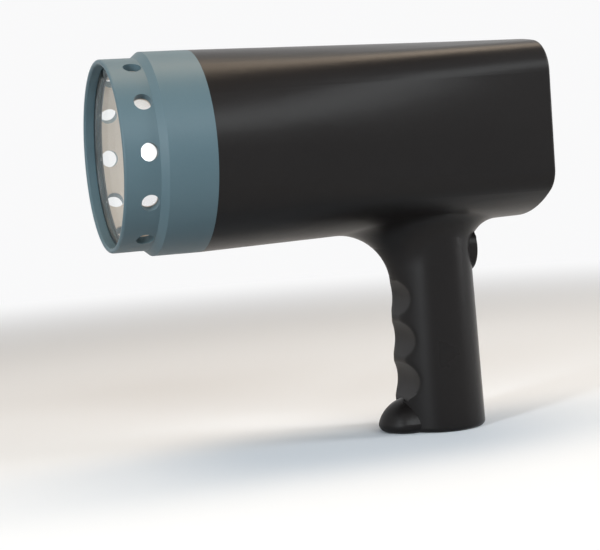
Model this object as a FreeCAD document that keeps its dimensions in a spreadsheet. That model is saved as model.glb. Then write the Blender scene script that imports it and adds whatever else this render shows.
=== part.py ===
import FreeCAD, Part
import math
import os
import Sketcher
from FreeCAD import Placement, Rotation, Vector

# Hand-held xenon stroboscope, in millimetres.
# The lamp shines toward -X, the control panel faces +X, Y runs across and Z is up.
# The origin is the middle of the handle's flat base, and the handle's axis is the Z axis.

doc = FreeCAD.newDocument("xenon_stroboscope")
sheet = doc.addObject("Spreadsheet::Sheet", "Dims")

SIZES = [
    # The whole instrument
    ("axis_height", 158.5, "height of the lamp axis above the base"),
    ("handle_setback", 176.5, "handle axis behind the lamp hood's lip"),
    ("body_length", 230.0, "lip of the hood to the rear rim"),
    ("parting_gap", 0.12, "joint between the two housing halves"),
    ("slip", 0.1, "clearance of parts that slide together by hand"),
    ("running", 0.04, "radial clearance of a shaft in its bush"),
    # Lamp hood
    ("step_height", 3.0, "front band of the hood below its rear band"),
    ("lip_wall", 2.7, "wall of the hood in front of the window"),
    ("lip_round", 1.2, "rounding of the lip"),
    ("band_length", 18.0, "front band, up to the sloping step"),
    ("step_length", 3.6, "length of the sloping step"),
    ("barrel_radius", 52.0, "rear band of the hood"),
    ("hood_length", 46.0, "lip to the joint with the housing"),
    ("spigot_length", 8.0, "spigot that enters the housing"),
    ("spigot_wall", 2.6, "wall of the spigot"),
    ("rib_depth", 1.1, "rib of the housing that holds the spigot"),
    ("rib_width", 1.6, "width of that rib"),
    ("rib_setback", 3.2, "rib behind the hood's rear edge"),
    ("window_setback", 6.5, "front of the window behind the lip"),
    ("window_thickness", 2.0, "window glass"),
    ("gasket_thickness", 0.8, "window gasket"),
    ("seat_width", 1.2, "shoulder that the gasket sits on"),
    ("snap_thickness", 1.1, "retaining ring"),
    ("snap_bite", 1.3, "depth of the retaining ring's groove"),
    ("snap_width", 3.1, "radial width of the retaining ring"),
    ("snap_gap", 9.0, "opening between the ring's ends"),
    ("snap_turn", 12.0, "degrees that the ring's ends stand off the top"),
    ("vent_setback", 12.9, "row of vents behind the lip"),
    ("vent_radius", 4.5, "vent holes"),
    ("vent_count", 12, "vent holes round the hood"),
    ("lug_radius", 3.6, "lugs for the carrier's screws"),
    ("lug_inset", 2.3, "lugs' middles inside the spigot's bore"),
    ("lug_length", 10.0, "length of the lugs"),
    ("lug_count", 3, "lugs round the hood"),
    # Lamp, reflector and their carrier
    ("sleeve_wall", 0.7, "sleeve behind the vents"),
    ("sleeve_length", 12.7, "length of the sleeve"),
    ("reflector_wall", 0.8, "spun reflector"),
    ("bowl_gap", 0.4, "gap between the bowl and the carrier"),
    ("rim_flange", 1.0, "flat rim round the bowl"),
    ("neck_radius", 14.0, "inner radius of the reflector's neck"),
    ("carrier_thickness", 2.5, "carrier plate"),
    ("carrier_margin", 0.8, "plate inside the housing's wall"),
    ("hub_wall", 2.4, "hub of the carrier"),
    ("neck_depth", 4.0, "hub's socket for the reflector's neck"),
    ("base_thickness", 6.0, "ceramic base of the lamp"),
    ("tube_radius", 2.5, "flash tube's glass"),
    ("tube_wall", 0.7, "wall of the glass"),
    ("tube_spread", 6.5, "each leg of the tube beside the axis"),
    ("tube_reach", 22.0, "tube in front of its base"),
    ("tube_seat", 2.5, "legs let into the base"),
    ("electrode_length", 5.0, "electrode in the end of each leg"),
    ("pin_radius", 0.7, "lead-out pins"),
    ("pin_tail", 4.0, "pins behind the base"),
    ("band_width", 1.5, "trigger band round the legs"),
    ("band_wall", 0.4, "metal of the trigger band"),
    ("band_place", 9.0, "trigger band in front of the base"),
    # Housing
    ("wall", 2.6, "walls of the housing"),
    ("rear_half_width", 48.8, "half width of the rear rim"),
    ("rear_top", 50.0, "top of the rear rim above the axis"),
    ("rear_bottom", 46.5, "bottom of the rear rim below the axis"),
    ("top_bow", 190.0, "radius of the top of the rear outline"),
    ("bottom_bow", 75.0, "radius of the bottom of the rear outline"),
    ("top_corner", 18.0, "upper corners of the rear outline"),
    ("bottom_corner", 14.0, "lower corners of the rear outline"),
    ("rear_round", 1.2, "rounding of the rear rim"),
    ("grip_depth", 24.2, "half depth of the handle at its base"),
    ("grip_breadth", 24.2, "half breadth of the handle at its base"),
    ("grip_neck_depth", 21.8, "half depth of the handle under the body"),
    ("grip_neck_lead", 0.6, "middle of the handle there, in front of its axis"),
    ("grip_neck_breadth", 20.6, "half breadth of the handle under the body"),
    ("grip_sunk", 20.0, "top of the handle's form below the axis"),
    ("front_sweep", 31.0, "radius between handle and body at the front"),
    ("side_sweep", 15.0, "radius between handle and body at the sides"),
    ("rear_sweep", 17.0, "radius between handle and body at the rear"),
    ("base_round", 2.5, "rounding of the handle's base"),
    ("base_wall", 3.0, "floor of the handle"),
    ("finger_count", 3, "finger grooves"),
    ("finger_pitch", 22.6, "distance from groove to groove"),
    ("finger_top", 73.2, "height of the upper groove"),
    ("finger_lean", 0.65, "each groove behind the one above it"),
    ("finger_depth", 4.6, "depth of the grooves"),
    ("finger_radius", 12.5, "hollow of the grooves"),
    ("crest_radius", 3.0, "rounded crests between the grooves"),
    ("toe_centre", 20.0, "toe's middle in front of the handle's axis"),
    ("toe_reach", 15.5, "toe's largest radius"),
    ("toe_height", 18.4, "top of the toe"),
    ("toe_nose", 5.2, "height of the toe's tip"),
    ("toe_foot", 12.0, "radius of the toe's flat foot"),
    ("toe_crown_share", 0.64, "how far out and up the toe's crown bulges"),
    ("toe_heel_share", 0.8, "how far out the edge under the toe's tip bulges"),
    ("toe_heel_rise", 0.3, "how far up that edge bulges"),
    # Screws that join the halves
    ("boss_radius", 4.2, "screw bosses inside the housing"),
    ("boss_front", 24.4, "front bosses behind the hood"),
    ("boss_drop", 13.5, "front bosses inside the barrel's surface"),
    ("boss_rear", 23.5, "rear bosses in front of the rear rim"),
    ("boss_rear_drop", 11.0, "rear bosses inside the top and bottom"),
    ("grip_screw_back", 9.5, "screws of the handle behind its axis"),
    ("grip_screw_high", 73.3, "upper screw of the handle"),
    ("grip_screw_low", 33.4, "lower screw of the handle"),
    ("screw_radius", 1.5, "self-tapping screws"),
    ("screw_clearance", 0.2, "play round a screw in its through hole"),
    ("head_radius", 2.8, "screw heads"),
    ("head_height", 2.0, "screw heads"),
    ("head_play", 0.4, "play round a head in its counterbore"),
    ("clamp_length", 7.0, "boss between a head and the parting"),
    ("bite_length", 9.0, "thread in the left housing"),
    # Rear panel
    ("rim_lip", 1.0, "housing's lip over the edge of the panel"),
    ("rim_width", 3.0, "housing's edge that shows round the panel"),
    ("slot_inset", 1.6, "panel's slot inside the rear outline"),
    ("ledge_inset", 3.0, "ledge in front of the panel"),
    ("ledge_width", 2.6, "thickness of that ledge"),
    ("panel_thickness", 2.8, "control panel"),
    ("display_height", 16.7, "middle of the display above the axis"),
    ("display_wide", 60.0, "display opening"),
    ("display_tall", 30.0, "display opening"),
    ("lens_recess", 0.8, "lens below the face of the panel"),
    ("lens_flange", 2.0, "edge of the lens behind the panel"),
    ("lens_flange_thickness", 1.0, "that edge"),
    ("board_setback", 7.7, "display board behind the panel"),
    ("board_thickness", 1.6, "circuit boards"),
    ("display_board_half", 36.0, "half width of the display board"),
    ("display_board_top", 42.0, "top of the display board"),
    ("display_board_bottom", 33.0, "bottom of the display board"),
    ("lcd_border", 1.4, "dark border of the display glass"),
    ("lcd_frame_wall", 2.0, "frame that holds the display glass"),
    ("lcd_thickness", 2.2, "display glass"),
    ("lcd_setback", 1.6, "display glass behind the front of its frame"),
    ("standoff_radius", 2.7, "panel's posts for the display board"),
    ("standoff_across", 31.0, "upper posts beside the middle"),
    ("standoff_up", 38.6, "upper posts above the axis"),
    ("standoff_low_a", -1.5, "first lower post, across"),
    ("standoff_low_b", 27.0, "second lower post, across"),
    ("standoff_down", 29.6, "lower posts below the axis"),
    ("small_screw", 1.2, "radius of the display board's screws"),
    ("small_head", 2.1, "radius of their heads"),
    ("small_head_height", 1.4, "height of their heads"),
    ("small_bite", 6.0, "length of their threads"),
    # Keys
    ("key_left", -27.9, "left column of keys, across"),
    ("key_pitch_across", 14.4, "distance between the two columns"),
    ("key_up", -15.0, "upper row of keys, from the axis"),
    ("key_pitch_down", 13.9, "distance between the two rows"),
    ("key_wide", 10.2, "key cap"),
    ("key_tall", 9.1, "key cap"),
    ("key_play", 0.4, "gap round a key cap"),
    ("key_round", 0.5, "rounding of a key cap"),
    ("key_proud", 1.7, "key cap above the panel"),
    ("key_flange", 1.0, "flange that keeps a key behind the panel"),
    ("key_flange_thickness", 1.0, "that flange"),
    ("key_travel", 0.6, "travel of a key"),
    ("key_stem", 1.8, "radius of a key's stem"),
    ("switch_body", 6.2, "tact switch, across"),
    ("switch_height", 3.4, "tact switch without its plunger"),
    ("plunger_radius", 1.7, "tact switch's plunger"),
    ("plunger_height", 1.2, "tact switch's plunger"),
    # Potentiometers and knobs
    ("fine_across", 4.8, "fine knob, across"),
    ("coarse_across", 29.6, "coarse knob, across"),
    ("knob_level", -18.0, "knobs, from the axis"),
    ("pot_radius", 8.2, "potentiometer body"),
    ("bush_radius", 3.5, "potentiometer's threaded bush"),
    ("bush_proud", 3.8, "bush in front of the panel"),
    ("shaft_radius", 3.0, "potentiometer's shaft"),
    ("shaft_length", 17.5, "potentiometer's shaft"),
    ("nut_radius", 5.3, "nut of the potentiometer, over its corners"),
    ("nut_height", 1.8, "nut of the potentiometer"),
    ("skirt_radius", 9.7, "skirt of a knob"),
    ("skirt_height", 1.8, "skirt of a knob"),
    ("knob_radius", 8.4, "knob above its skirt"),
    ("knob_top_radius", 7.9, "top of a knob"),
    ("knob_height", 13.0, "whole knob"),
    ("knob_gap", 0.4, "knob above the panel"),
    ("knob_hollow", 6.2, "hollow under a knob, over the nut"),
    ("knob_hollow_depth", 4.2, "hollow under a knob"),
    ("knob_round", 0.7, "rounding of a knob's top edge"),
    ("flute_count", 28, "flutes round a knob"),
    ("flute_radius", 0.6, "radius of a flute"),
    ("flute_depth", 0.6, "depth of a flute above the skirt"),
    # Trigger jack
    ("jack_across", 16.5, "trigger jack, across"),
    ("jack_level", -28.9, "trigger jack, from the axis"),
    ("jack_bore", 1.8, "bore for a 3.5 mm plug"),
    ("jack_nose", 2.9, "nose of the jack in the panel"),
    ("jack_box", 8.4, "body of the jack"),
    ("jack_depth", 15.0, "depth of the jack's bore"),
    ("jack_barrel", 3.0, "barrel of the jack behind the board"),
    ("jack_recess", 0.2, "nose below the face of the panel"),
    # Power switch
    ("rocker_level", 97.0, "middle of the power switch above the base"),
    ("pad_radius", 13.0, "round pad on the back of the handle"),
    ("pad_place", 22.4, "face of the pad behind the handle's axis"),
    ("dish_radius", 11.6, "dish in the pad"),
    ("dish_depth", 1.2, "dish in the pad"),
    ("bezel_radius", 11.0, "bezel of the switch"),
    ("bezel_thickness", 1.4, "bezel of the switch"),
    ("barrel_switch", 10.0, "switch body behind its bezel"),
    ("switch_depth", 17.0, "switch body behind its bezel"),
    ("rocker_radius", 9.2, "rocker, a part of a ball"),
    ("rocker_play", 0.35, "gap round the rocker"),
    ("rocker_sunk", 2.2, "pivot below the bezel's face"),
    ("rocker_back", 4.6, "rocker behind its pivot"),
    ("rocker_tilt", 14.0, "degrees that the rocker leans either way"),
    ("rocker_pin", 1.0, "pivot pin of the rocker"),
    ("tab_wide", 4.8, "switch terminals"),
    ("tab_thick", 0.8, "switch terminals"),
    ("tab_long", 7.0, "switch terminals"),
    ("tab_spread", 5.5, "outer terminals above and below the middle"),
    # Mains inlet
    ("inlet_long", 20.0, "inlet body along X"),
    ("inlet_wide", 12.0, "inlet body along Y"),
    ("inlet_tall", 19.0, "inlet body"),
    ("inlet_raise", 0.6, "inlet above the base"),
    ("inlet_flange", 2.2, "flange that traps the inlet"),
    ("inlet_flange_thickness", 1.8, "that flange"),
    ("keeper_thickness", 2.0, "shelf of the housing above that flange"),
    ("socket_radius", 3.75, "ends of the figure-eight socket"),
    ("socket_spread", 4.3, "socket's pins beside the middle"),
    ("socket_depth", 12.0, "depth of the socket"),
    ("contact_radius", 1.2, "pins of the inlet"),
    ("contact_recess", 1.6, "pins below the mouth"),
    ("contact_tail", 5.0, "pins above the inlet"),
    # Power board
    ("power_front_gap", 4.0, "front of the power board behind the lamp's base"),
    ("power_rear_gap", 7.0, "power board in front of the transformer"),
    ("power_half", 33.0, "half width of the power board"),
    ("power_level", -26.6, "underside of the power board, from the axis"),
    ("post_radius", 3.2, "housing's posts for boards"),
    ("post_inset", 5.0, "posts inside the power board's edge"),
    ("post_bite", 7.0, "thread in the posts"),
    ("cap_radius", 9.0, "discharge capacitors"),
    ("cap_share", 0.425, "length of the capacitors, of the board's"),
    ("cap_across", 11.0, "capacitors beside the middle"),
    ("cap_start", 6.0, "capacitors behind the board's front"),
    ("part_gap", 0.1, "parts above the board"),
    ("coil_radius", 6.0, "trigger transformer"),
    ("coil_height", 15.0, "trigger transformer"),
    ("coil_share", 0.65, "place of the trigger transformer, of the board's length"),
    ("coil_across", -16.0, "trigger transformer, across"),
    ("sink_length_share", 0.3, "length of the heat sink, of the board's"),
    ("sink_wide", 18.0, "heat sink"),
    ("sink_tall", 22.0, "heat sink"),
    ("sink_wall", 1.6, "heat sink's fins"),
    ("sink_fins", 5, "heat sink's fins"),
    ("sink_share", 0.625, "place of the heat sink, of the board's length"),
    ("sink_across", 4.0, "near side of the heat sink"),
    ("device_long", 10.0, "power transistor"),
    ("device_tall", 15.0, "power transistor"),
    ("device_thick", 4.4, "power transistor"),
    # Mains transformer
    ("core_gap", 8.0, "winding in front of the display board"),
    ("core_stack", 40.0, "stack of laminations along X"),
    ("core_wide", 48.0, "laminations across"),
    ("core_tall", 40.0, "laminations"),
    ("core_leg", 8.0, "outer legs and yokes; the middle leg is twice this"),
    ("coil_overhang", 7.0, "winding outside the stack"),
    ("coil_play", 0.2, "winding inside the windows"),
    ("strap_thickness", 1.2, "transformer's steel strap"),
    ("strap_wide", 24.0, "strap along X"),
    ("strap_foot", 34.0, "feet of the strap reach this far across"),
    ("foot_place", 30.0, "screws of the strap, across"),
    ("foot_level", -31.0, "posts under the strap, from the axis"),
    # Chip on the display board
    ("chip_side", 14.0, "control chip"),
    ("chip_thick", 1.8, "control chip"),
]


class Size:
    """A driving size, or a sum of them: its number and the expression that the sheet works out."""

    def __init__(self, value, text):
        self.value = value
        self.text = text

    def __add__(self, other):
        other = as_size(other)
        return Size(self.value + other.value, "(%s + %s)" % (self.text, other.text))

    def __sub__(self, other):
        other = as_size(other)
        return Size(self.value - other.value, "(%s - %s)" % (self.text, other.text))

    def __mul__(self, other):
        other = as_size(other)
        return Size(self.value * other.value, "(%s * %s)" % (self.text, other.text))

    def __truediv__(self, other):
        other = as_size(other)
        return Size(self.value / other.value, "(%s / %s)" % (self.text, other.text))

    def __radd__(self, other):
        return as_size(other) + self

    def __rsub__(self, other):
        return as_size(other) - self

    def __rmul__(self, other):
        return as_size(other) * self

    def __neg__(self):
        return as_size(0) - self


def as_size(number):
    if isinstance(number, Size):
        return number
    return Size(float(number), "%.6g" % number if number >= 0 else "(0 - %.6g)" % -number)


class Sheet:
    """The driving sizes by name."""


d = Sheet()
for row, (alias, number, meaning) in enumerate(SIZES, start=1):
    sheet.set("A%d" % row, meaning)
    sheet.set("B%d" % row, "%.6g" % number)
    sheet.setAlias("B%d" % row, alias)
    setattr(d, alias, Size(number, "Dims.%s" % alias))
doc.recompute()

NODES = []


def node(thing, label):
    thing.Label = label
    NODES.append(thing)
    return thing


def bind(thing, prop, size):
    """Drive one property by the sheet. Its value is set first, so that the shape is never empty."""
    size = as_size(size)
    if "." not in prop:
        setattr(thing, prop, size.value)
    thing.setExpression(prop, size.text)


TURNS = {
    "z": Rotation(),
    "x": Rotation(Vector(0, 1, 0), 90),
    "y": Rotation(Vector(1, 0, 0), -90),
    "-y": Rotation(Vector(1, 0, 0), 90),
}


def place(thing, x, y, z, turn=None):
    x, y, z = as_size(x), as_size(y), as_size(z)
    thing.Placement = Placement(Vector(x.value, y.value, z.value), turn or Rotation())
    for letter, size in (("x", x), ("y", y), ("z", z)):
        thing.setExpression("Placement.Base." + letter, size.text)
    return thing


def rod(name, radius, length, x, y, z, axis="x"):
    """A cylinder that starts at (x, y, z) and runs along +axis."""
    thing = doc.addObject("Part::Cylinder", name)
    bind(thing, "Radius", radius)
    bind(thing, "Height", length)
    return place(thing, x, y, z, TURNS[axis])


def block(name, x, y, z, long, wide, tall):
    """A box with its lowest corner at (x, y, z)."""
    thing = doc.addObject("Part::Box", name)
    bind(thing, "Length", long)
    bind(thing, "Width", wide)
    bind(thing, "Height", tall)
    return place(thing, x, y, z)


def centred(name, x, y, z, long, wide, tall):
    """A box from x to x + long whose Y and Z middles are y and z."""
    long, wide, tall = as_size(long), as_size(wide), as_size(tall)
    return block(name, x, y - wide / 2, z - tall / 2, long, wide, tall)


def joined(name, things):
    if len(things) == 1:
        return things[0]
    union = doc.addObject("Part::MultiFuse", name)
    union.Shapes = things
    return union


def less(name, base, tools):
    result = doc.addObject("Part::Cut", name)
    result.Base = base
    result.Tool = joined(name + "_tools", tools)
    return result


def shared(name, first, second):
    result = doc.addObject("Part::Common", name)
    result.Base = first
    result.Tool = second
    return result


def group(name, things):
    result = doc.addObject("Part::Compound", name)
    result.Links = things
    return result


def formed(name, shape):
    thing = doc.addObject("Part::Feature", name)
    thing.Shape = shape
    return thing


# Sketches of the bodies: every point and radius is held by the sheet.

def start_body(label):
    body = doc.addObject("PartDesign::Body", label)
    return node(body, label)


def add_sketch(body, role, name, offset=None):
    sketch = body.newObject("Sketcher::SketchObject", name)
    plane = [f for f in body.Origin.OriginFeatures if f.Role == role][0]
    sketch.AttachmentSupport = [(plane, "")]
    sketch.MapMode = "FlatFace"
    if offset is not None:
        offset = as_size(offset)
        sketch.AttachmentOffset = Placement(Vector(0, 0, offset.value), Rotation())
        sketch.setExpression("AttachmentOffset.Base.z", offset.text)
    return sketch


def hold(sketch, kind, places, size):
    size = as_size(size)
    index = sketch.addConstraint(Sketcher.Constraint(kind, *places, size.value))
    sketch.setExpression("Constraints[%d]" % index, size.text)


def hold_point(sketch, geometry, corner, x, y):
    for kind, axis, size in (("DistanceX", -2, as_size(x)), ("DistanceY", -1, as_size(y))):
        if size.value == 0:
            sketch.addConstraint(Sketcher.Constraint("PointOnObject", geometry, corner, axis))
        else:
            hold(sketch, kind, (-1, 1, geometry, corner), size)


def draw_outline(sketch, points):
    """A closed outline of straight lines through the points."""
    points = [(as_size(x), as_size(y)) for x, y in points]
    count = len(points)
    first = sketch.GeometryCount
    for index in range(count):
        a = points[index]
        b = points[(index + 1) % count]
        start = Vector(a[0].value, a[1].value, 0)
        end = Vector(b[0].value, b[1].value, 0)
        sketch.addGeometry(Part.LineSegment(start, end), False)
    for index in range(count):
        after = (index + 1) % count
        sketch.addConstraint(Sketcher.Constraint("Coincident", first + index, 2, first + after, 1))
    for index in range(count):
        hold_point(sketch, first + index, 1, points[index][0], points[index][1])


def draw_circle(sketch, x, y, radius):
    x, y, radius = as_size(x), as_size(y), as_size(radius)
    centre = Vector(x.value, y.value, 0)
    index = sketch.addGeometry(Part.Circle(centre, Vector(0, 0, 1), radius.value), False)
    hold(sketch, "Radius", (index,), radius)
    hold_point(sketch, index, 3, x, y)


def draw_box(sketch, x, y, wide, tall):
    """A rectangle round the middle (x, y)."""
    left = x - wide / 2
    right = x + wide / 2
    low = y - tall / 2
    high = y + tall / 2
    draw_outline(sketch, [(left, low), (right, low), (right, high), (left, high)])


def pad(body, sketch, length, name, reverse=False):
    feature = body.newObject("PartDesign::Pad", name)
    feature.Profile = sketch
    bind(feature, "Length", length)
    feature.Reversed = reverse
    return feature


def pocket(body, sketch, length, name, reverse=False):
    feature = body.newObject("PartDesign::Pocket", name)
    feature.Profile = sketch
    bind(feature, "Length", length)
    feature.Reversed = reverse
    return feature


def spin(body, sketch, name="turned"):
    feature = body.newObject("PartDesign::Revolution", name)
    feature.Profile = sketch
    feature.ReferenceAxis = (sketch, ["H_Axis"])
    feature.Angle = 360.0
    return feature


def around(body, feature, count, name):
    """The feature repeated round the body's X axis."""
    pattern = body.newObject("PartDesign::PolarPattern", name)
    pattern.Originals = [feature]
    axis = [f for f in body.Origin.OriginFeatures if f.Role == "X_Axis"][0]
    pattern.Axis = (axis, [""])
    pattern.Angle = 360.0
    bind(pattern, "Occurrences", Size(int(count.value), count.text))
    body.Tip = pattern
    return pattern


def round_edges(body, feature, test, radius, name):
    """Round the edges of the feature for which test(edge) holds."""
    doc.recompute()
    names = []
    for index, edge in enumerate(feature.Shape.Edges, start=1):
        if test(edge):
            names.append("Edge%d" % index)
    rounded = body.newObject("PartDesign::Fillet", name)
    rounded.Base = (feature, names)
    bind(rounded, "Radius", radius)
    return rounded


# Places along the lamp axis, behind the lip; the parts of the head are drawn from the lip.
lip_radius = d.barrel_radius - d.step_height
window_bore = lip_radius - d.lip_wall
window_back = d.window_setback + d.window_thickness
shoulder = window_back + d.gasket_thickness
sleeve_bore = window_bore - d.seat_width
sleeve_end = shoulder + d.sleeve_length
bowl_rim = sleeve_bore - d.slip - d.rim_flange
step_end = d.band_length + d.step_length
spigot_end = d.hood_length + d.spigot_length
housing_bore = d.barrel_radius - d.wall
spigot_radius = housing_bore - d.slip
spigot_bore = spigot_radius - d.spigot_wall
lug_circle = spigot_bore - d.lug_inset
rib_start = d.hood_length + d.rib_setback
rib_end = rib_start + d.rib_width
rim_back = sleeve_end + d.reflector_wall
rear_x = d.body_length - d.handle_setback
lip_x = -d.handle_setback
panel_face = d.body_length - d.rim_lip
panel_back = panel_face - d.panel_thickness
board_face = panel_back - d.board_setback
core_place = board_face - d.board_thickness - d.core_gap - d.coil_overhang - d.core_stack / 2
power_start = spigot_end + d.neck_depth + d.base_thickness + d.power_front_gap
power_long = core_place - d.core_stack / 2 - d.coil_overhang - d.power_rear_gap - power_start


def at_head(thing):
    """Put a part that is drawn from the lip on the lamp axis."""
    return place(thing, lip_x, 0, d.axis_height)


# The hood is one turned moulding with a row of vents and three lugs for the lamp carrier.
hood = start_body("lamp_hood")
profile = add_sketch(hood, "XZ_Plane", "hood_profile")
draw_outline(profile, [
    (0, window_bore),
    (0, lip_radius),
    (d.band_length, lip_radius),
    (step_end, d.barrel_radius),
    (d.hood_length, d.barrel_radius),
    (d.hood_length, spigot_radius),
    (rib_start - d.slip, spigot_radius),
    (rib_start - d.slip, spigot_radius - d.rib_depth),
    (rib_end + d.slip, spigot_radius - d.rib_depth),
    (rib_end + d.slip, spigot_radius),
    (spigot_end, spigot_radius),
    (spigot_end, spigot_bore),
    (rim_back + d.spigot_wall, spigot_bore),
    (rim_back + d.slip, sleeve_bore),
    (shoulder, sleeve_bore),
    (shoulder, window_bore),
    (d.window_setback, window_bore),
    (d.window_setback, window_bore + d.snap_bite),
    (d.window_setback - d.snap_thickness - d.slip, window_bore + d.snap_bite),
    (d.window_setback - d.snap_thickness - d.slip, window_bore),
])
turned = spin(hood, profile)
lugs = add_sketch(hood, "YZ_Plane", "lug_outline", spigot_end - d.lug_length)
draw_circle(lugs, 0, lug_circle, d.lug_radius)
lug = pad(hood, lugs, d.lug_length, "lug")
lug_ring = around(hood, lug, d.lug_count, "lug_ring")
pilots = add_sketch(hood, "YZ_Plane", "pilot_outline", spigot_end)
draw_circle(pilots, 0, lug_circle, d.screw_radius)
pilot = pocket(hood, pilots, d.lug_length - d.spigot_wall, "pilot")
pilot_ring = around(hood, pilot, d.lug_count, "pilot_ring")
vents = add_sketch(hood, "XY_Plane", "vent_outline")
draw_circle(vents, d.vent_setback, 0, d.vent_radius)
vent = pocket(hood, vents, d.barrel_radius, "vent", reverse=True)
vent_ring = around(hood, vent, d.vent_count, "vent_ring")


def on_lip(edge):
    box = edge.BoundBox
    return box.XMax < 0.01 and box.YLength > lip_radius.value


rounded_lip = round_edges(hood, vent_ring, on_lip, d.lip_round, "rounded_lip")
at_head(hood)

# The window is a flat glass disc between a rubber gasket and a snap ring.
glass = rod("glass_disc", window_bore - d.slip, d.window_thickness, 0, 0, 0)
node(glass, "window_glass")
place(glass, lip_x + d.window_setback, 0, d.axis_height, TURNS["x"])

gasket = start_body("window_gasket")
ring = add_sketch(gasket, "YZ_Plane", "gasket_outline", window_back)
draw_circle(ring, 0, 0, window_bore - d.slip)
draw_circle(ring, 0, 0, sleeve_bore + d.slip)
pad(gasket, ring, d.gasket_thickness, "gasket_ring")
at_head(gasket)

snap_outer = window_bore + d.snap_bite - d.slip
snap_inner = snap_outer - d.snap_width
snap_front = d.window_setback - d.snap_thickness
snap_disc = rod("snap_disc", snap_outer, d.snap_thickness, snap_front, 0, 0)
snap_hole = rod("snap_hole", snap_inner, d.snap_thickness * 3, snap_front - d.snap_thickness, 0, 0)
snap_slot = centred("snap_slot", snap_front - d.snap_thickness, 0, snap_inner,
                    d.snap_thickness * 3, d.snap_gap, d.snap_width * 4)
ears = []
ear_holes = []
for side in (-1, 1):
    ear_y = side * (d.snap_gap / 2 + d.snap_width / 2)
    ear_z = snap_inner - d.snap_width / 4
    ears.append(rod("snap_ear", d.snap_width / 2, d.snap_thickness, snap_front, ear_y, ear_z))
    ear_holes.append(rod("snap_ear_hole", d.snap_width / 4, d.snap_thickness * 3,
                         snap_front - d.snap_thickness, ear_y, ear_z))
snap_ring = less("snap_open", snap_disc, [snap_hole, snap_slot])
snap_ring = less("snap_ring", joined("snap_eared", [snap_ring] + ears), ear_holes)
node(snap_ring, "window_retaining_ring")
snap_lean = Rotation(Vector(1, 0, 0), -d.snap_turn.value)
place(snap_ring, lip_x, 0, d.axis_height, snap_lean)

# Behind the vents a thin sleeve lines the hood, and its end carries the reflector's rim.
sleeve = start_body("vent_sleeve")
sleeve_outer = sleeve_bore - d.slip
sleeve_inner = sleeve_outer - d.sleeve_wall
tube_profile = add_sketch(sleeve, "XZ_Plane", "sleeve_profile")
draw_outline(tube_profile, [
    (shoulder, sleeve_inner),
    (shoulder, sleeve_outer),
    (sleeve_end, sleeve_outer),
    (sleeve_end, sleeve_inner),
])
spin(sleeve, tube_profile)
sleeve_vents = add_sketch(sleeve, "XY_Plane", "sleeve_vent_outline")
draw_circle(sleeve_vents, d.vent_setback, 0, d.vent_radius)
sleeve_vent = pocket(sleeve, sleeve_vents, d.barrel_radius, "sleeve_vent", reverse=True)
around(sleeve, sleeve_vent, d.vent_count, "sleeve_vent_ring")
at_head(sleeve)

# The reflector is a spun parabola with a flat rim and a short neck.
rim_x = sleeve_end.value
metal = d.reflector_wall.value
outer_neck = d.neck_radius.value + metal
bowl_depth = (spigot_end - d.bowl_gap).value - rim_x - 2 * metal
focus = (bowl_rim.value ** 2 - outer_neck ** 2) / (4 * bowl_depth)
bowl_vertex = rim_x + bowl_rim.value ** 2 / (4 * focus)
neck_x = bowl_vertex - d.neck_radius.value ** 2 / (4 * focus)
carrier_back = spigot_end + d.neck_depth


def bowl_curve(vertex, near, far):
    """The parabola that opens toward the lip, between two radii; a curve of three poles gives it exactly."""
    curve = Part.BezierCurve()
    curve.setPoles([
        Vector(vertex - near * near / (4 * focus), 0, near),
        Vector(vertex - near * far / (4 * focus), 0, (near + far) / 2),
        Vector(vertex - far * far / (4 * focus), 0, far),
    ])
    return curve.toShape()


def line(a, b):
    return Part.makeLine(Vector(a[0], 0, a[1]), Vector(b[0], 0, b[1]))


def spun_bowl():
    inner_rim = bowl_rim.value
    inner_neck = d.neck_radius.value
    outer_rim = (sleeve_bore - d.slip).value
    back_vertex = bowl_vertex + 2 * metal
    back_rim = math.sqrt(4 * focus * (back_vertex - rim_x - metal))
    back_neck_x = back_vertex - outer_neck ** 2 / (4 * focus)
    neck_end = carrier_back.value
    outline = Part.Wire(Part.__sortEdges__([
        bowl_curve(bowl_vertex, inner_rim, inner_neck),
        line((neck_x, inner_neck), (neck_end, inner_neck)),
        line((neck_end, inner_neck), (neck_end, outer_neck)),
        line((neck_end, outer_neck), (back_neck_x, outer_neck)),
        bowl_curve(back_vertex, outer_neck, back_rim),
        line((rim_x + metal, back_rim), (rim_x + metal, outer_rim)),
        line((rim_x + metal, outer_rim), (rim_x, outer_rim)),
        line((rim_x, outer_rim), (rim_x, inner_rim)),
    ]))
    return Part.Face(outline).revolve(Vector(0, 0, 0), Vector(1, 0, 0), 360)


reflector = node(formed("spun_reflector", spun_bowl()), "reflector")
at_head(reflector)

# The carrier is a plate on the hood's lugs; its hub holds the reflector's neck and the lamp base.
hub_step = spigot_end + d.neck_depth
hub_end = hub_step + d.base_thickness
hub_bore = d.neck_radius + d.reflector_wall + d.slip
lamp_bore = d.neck_radius - d.slip * 2
carrier_radius = spigot_radius - d.carrier_margin
carrier = start_body("reflector_carrier")
carrier_profile = add_sketch(carrier, "XZ_Plane", "carrier_profile")
draw_outline(carrier_profile, [
    (spigot_end, hub_bore),
    (spigot_end, carrier_radius),
    (spigot_end + d.carrier_thickness, carrier_radius),
    (spigot_end + d.carrier_thickness, hub_bore + d.hub_wall),
    (hub_end, hub_bore + d.hub_wall),
    (hub_end, lamp_bore),
    (hub_step, lamp_bore),
    (hub_step, hub_bore),
])
spin(carrier, carrier_profile)
carrier_holes = add_sketch(carrier, "YZ_Plane", "carrier_hole_outline", spigot_end)
draw_circle(carrier_holes, 0, lug_circle, d.screw_radius + d.screw_clearance)
carrier_hole = pocket(carrier, carrier_holes, d.carrier_thickness * 2, "carrier_hole", reverse=True)
around(carrier, carrier_hole, d.lug_count, "carrier_hole_ring")
at_head(carrier)


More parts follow.
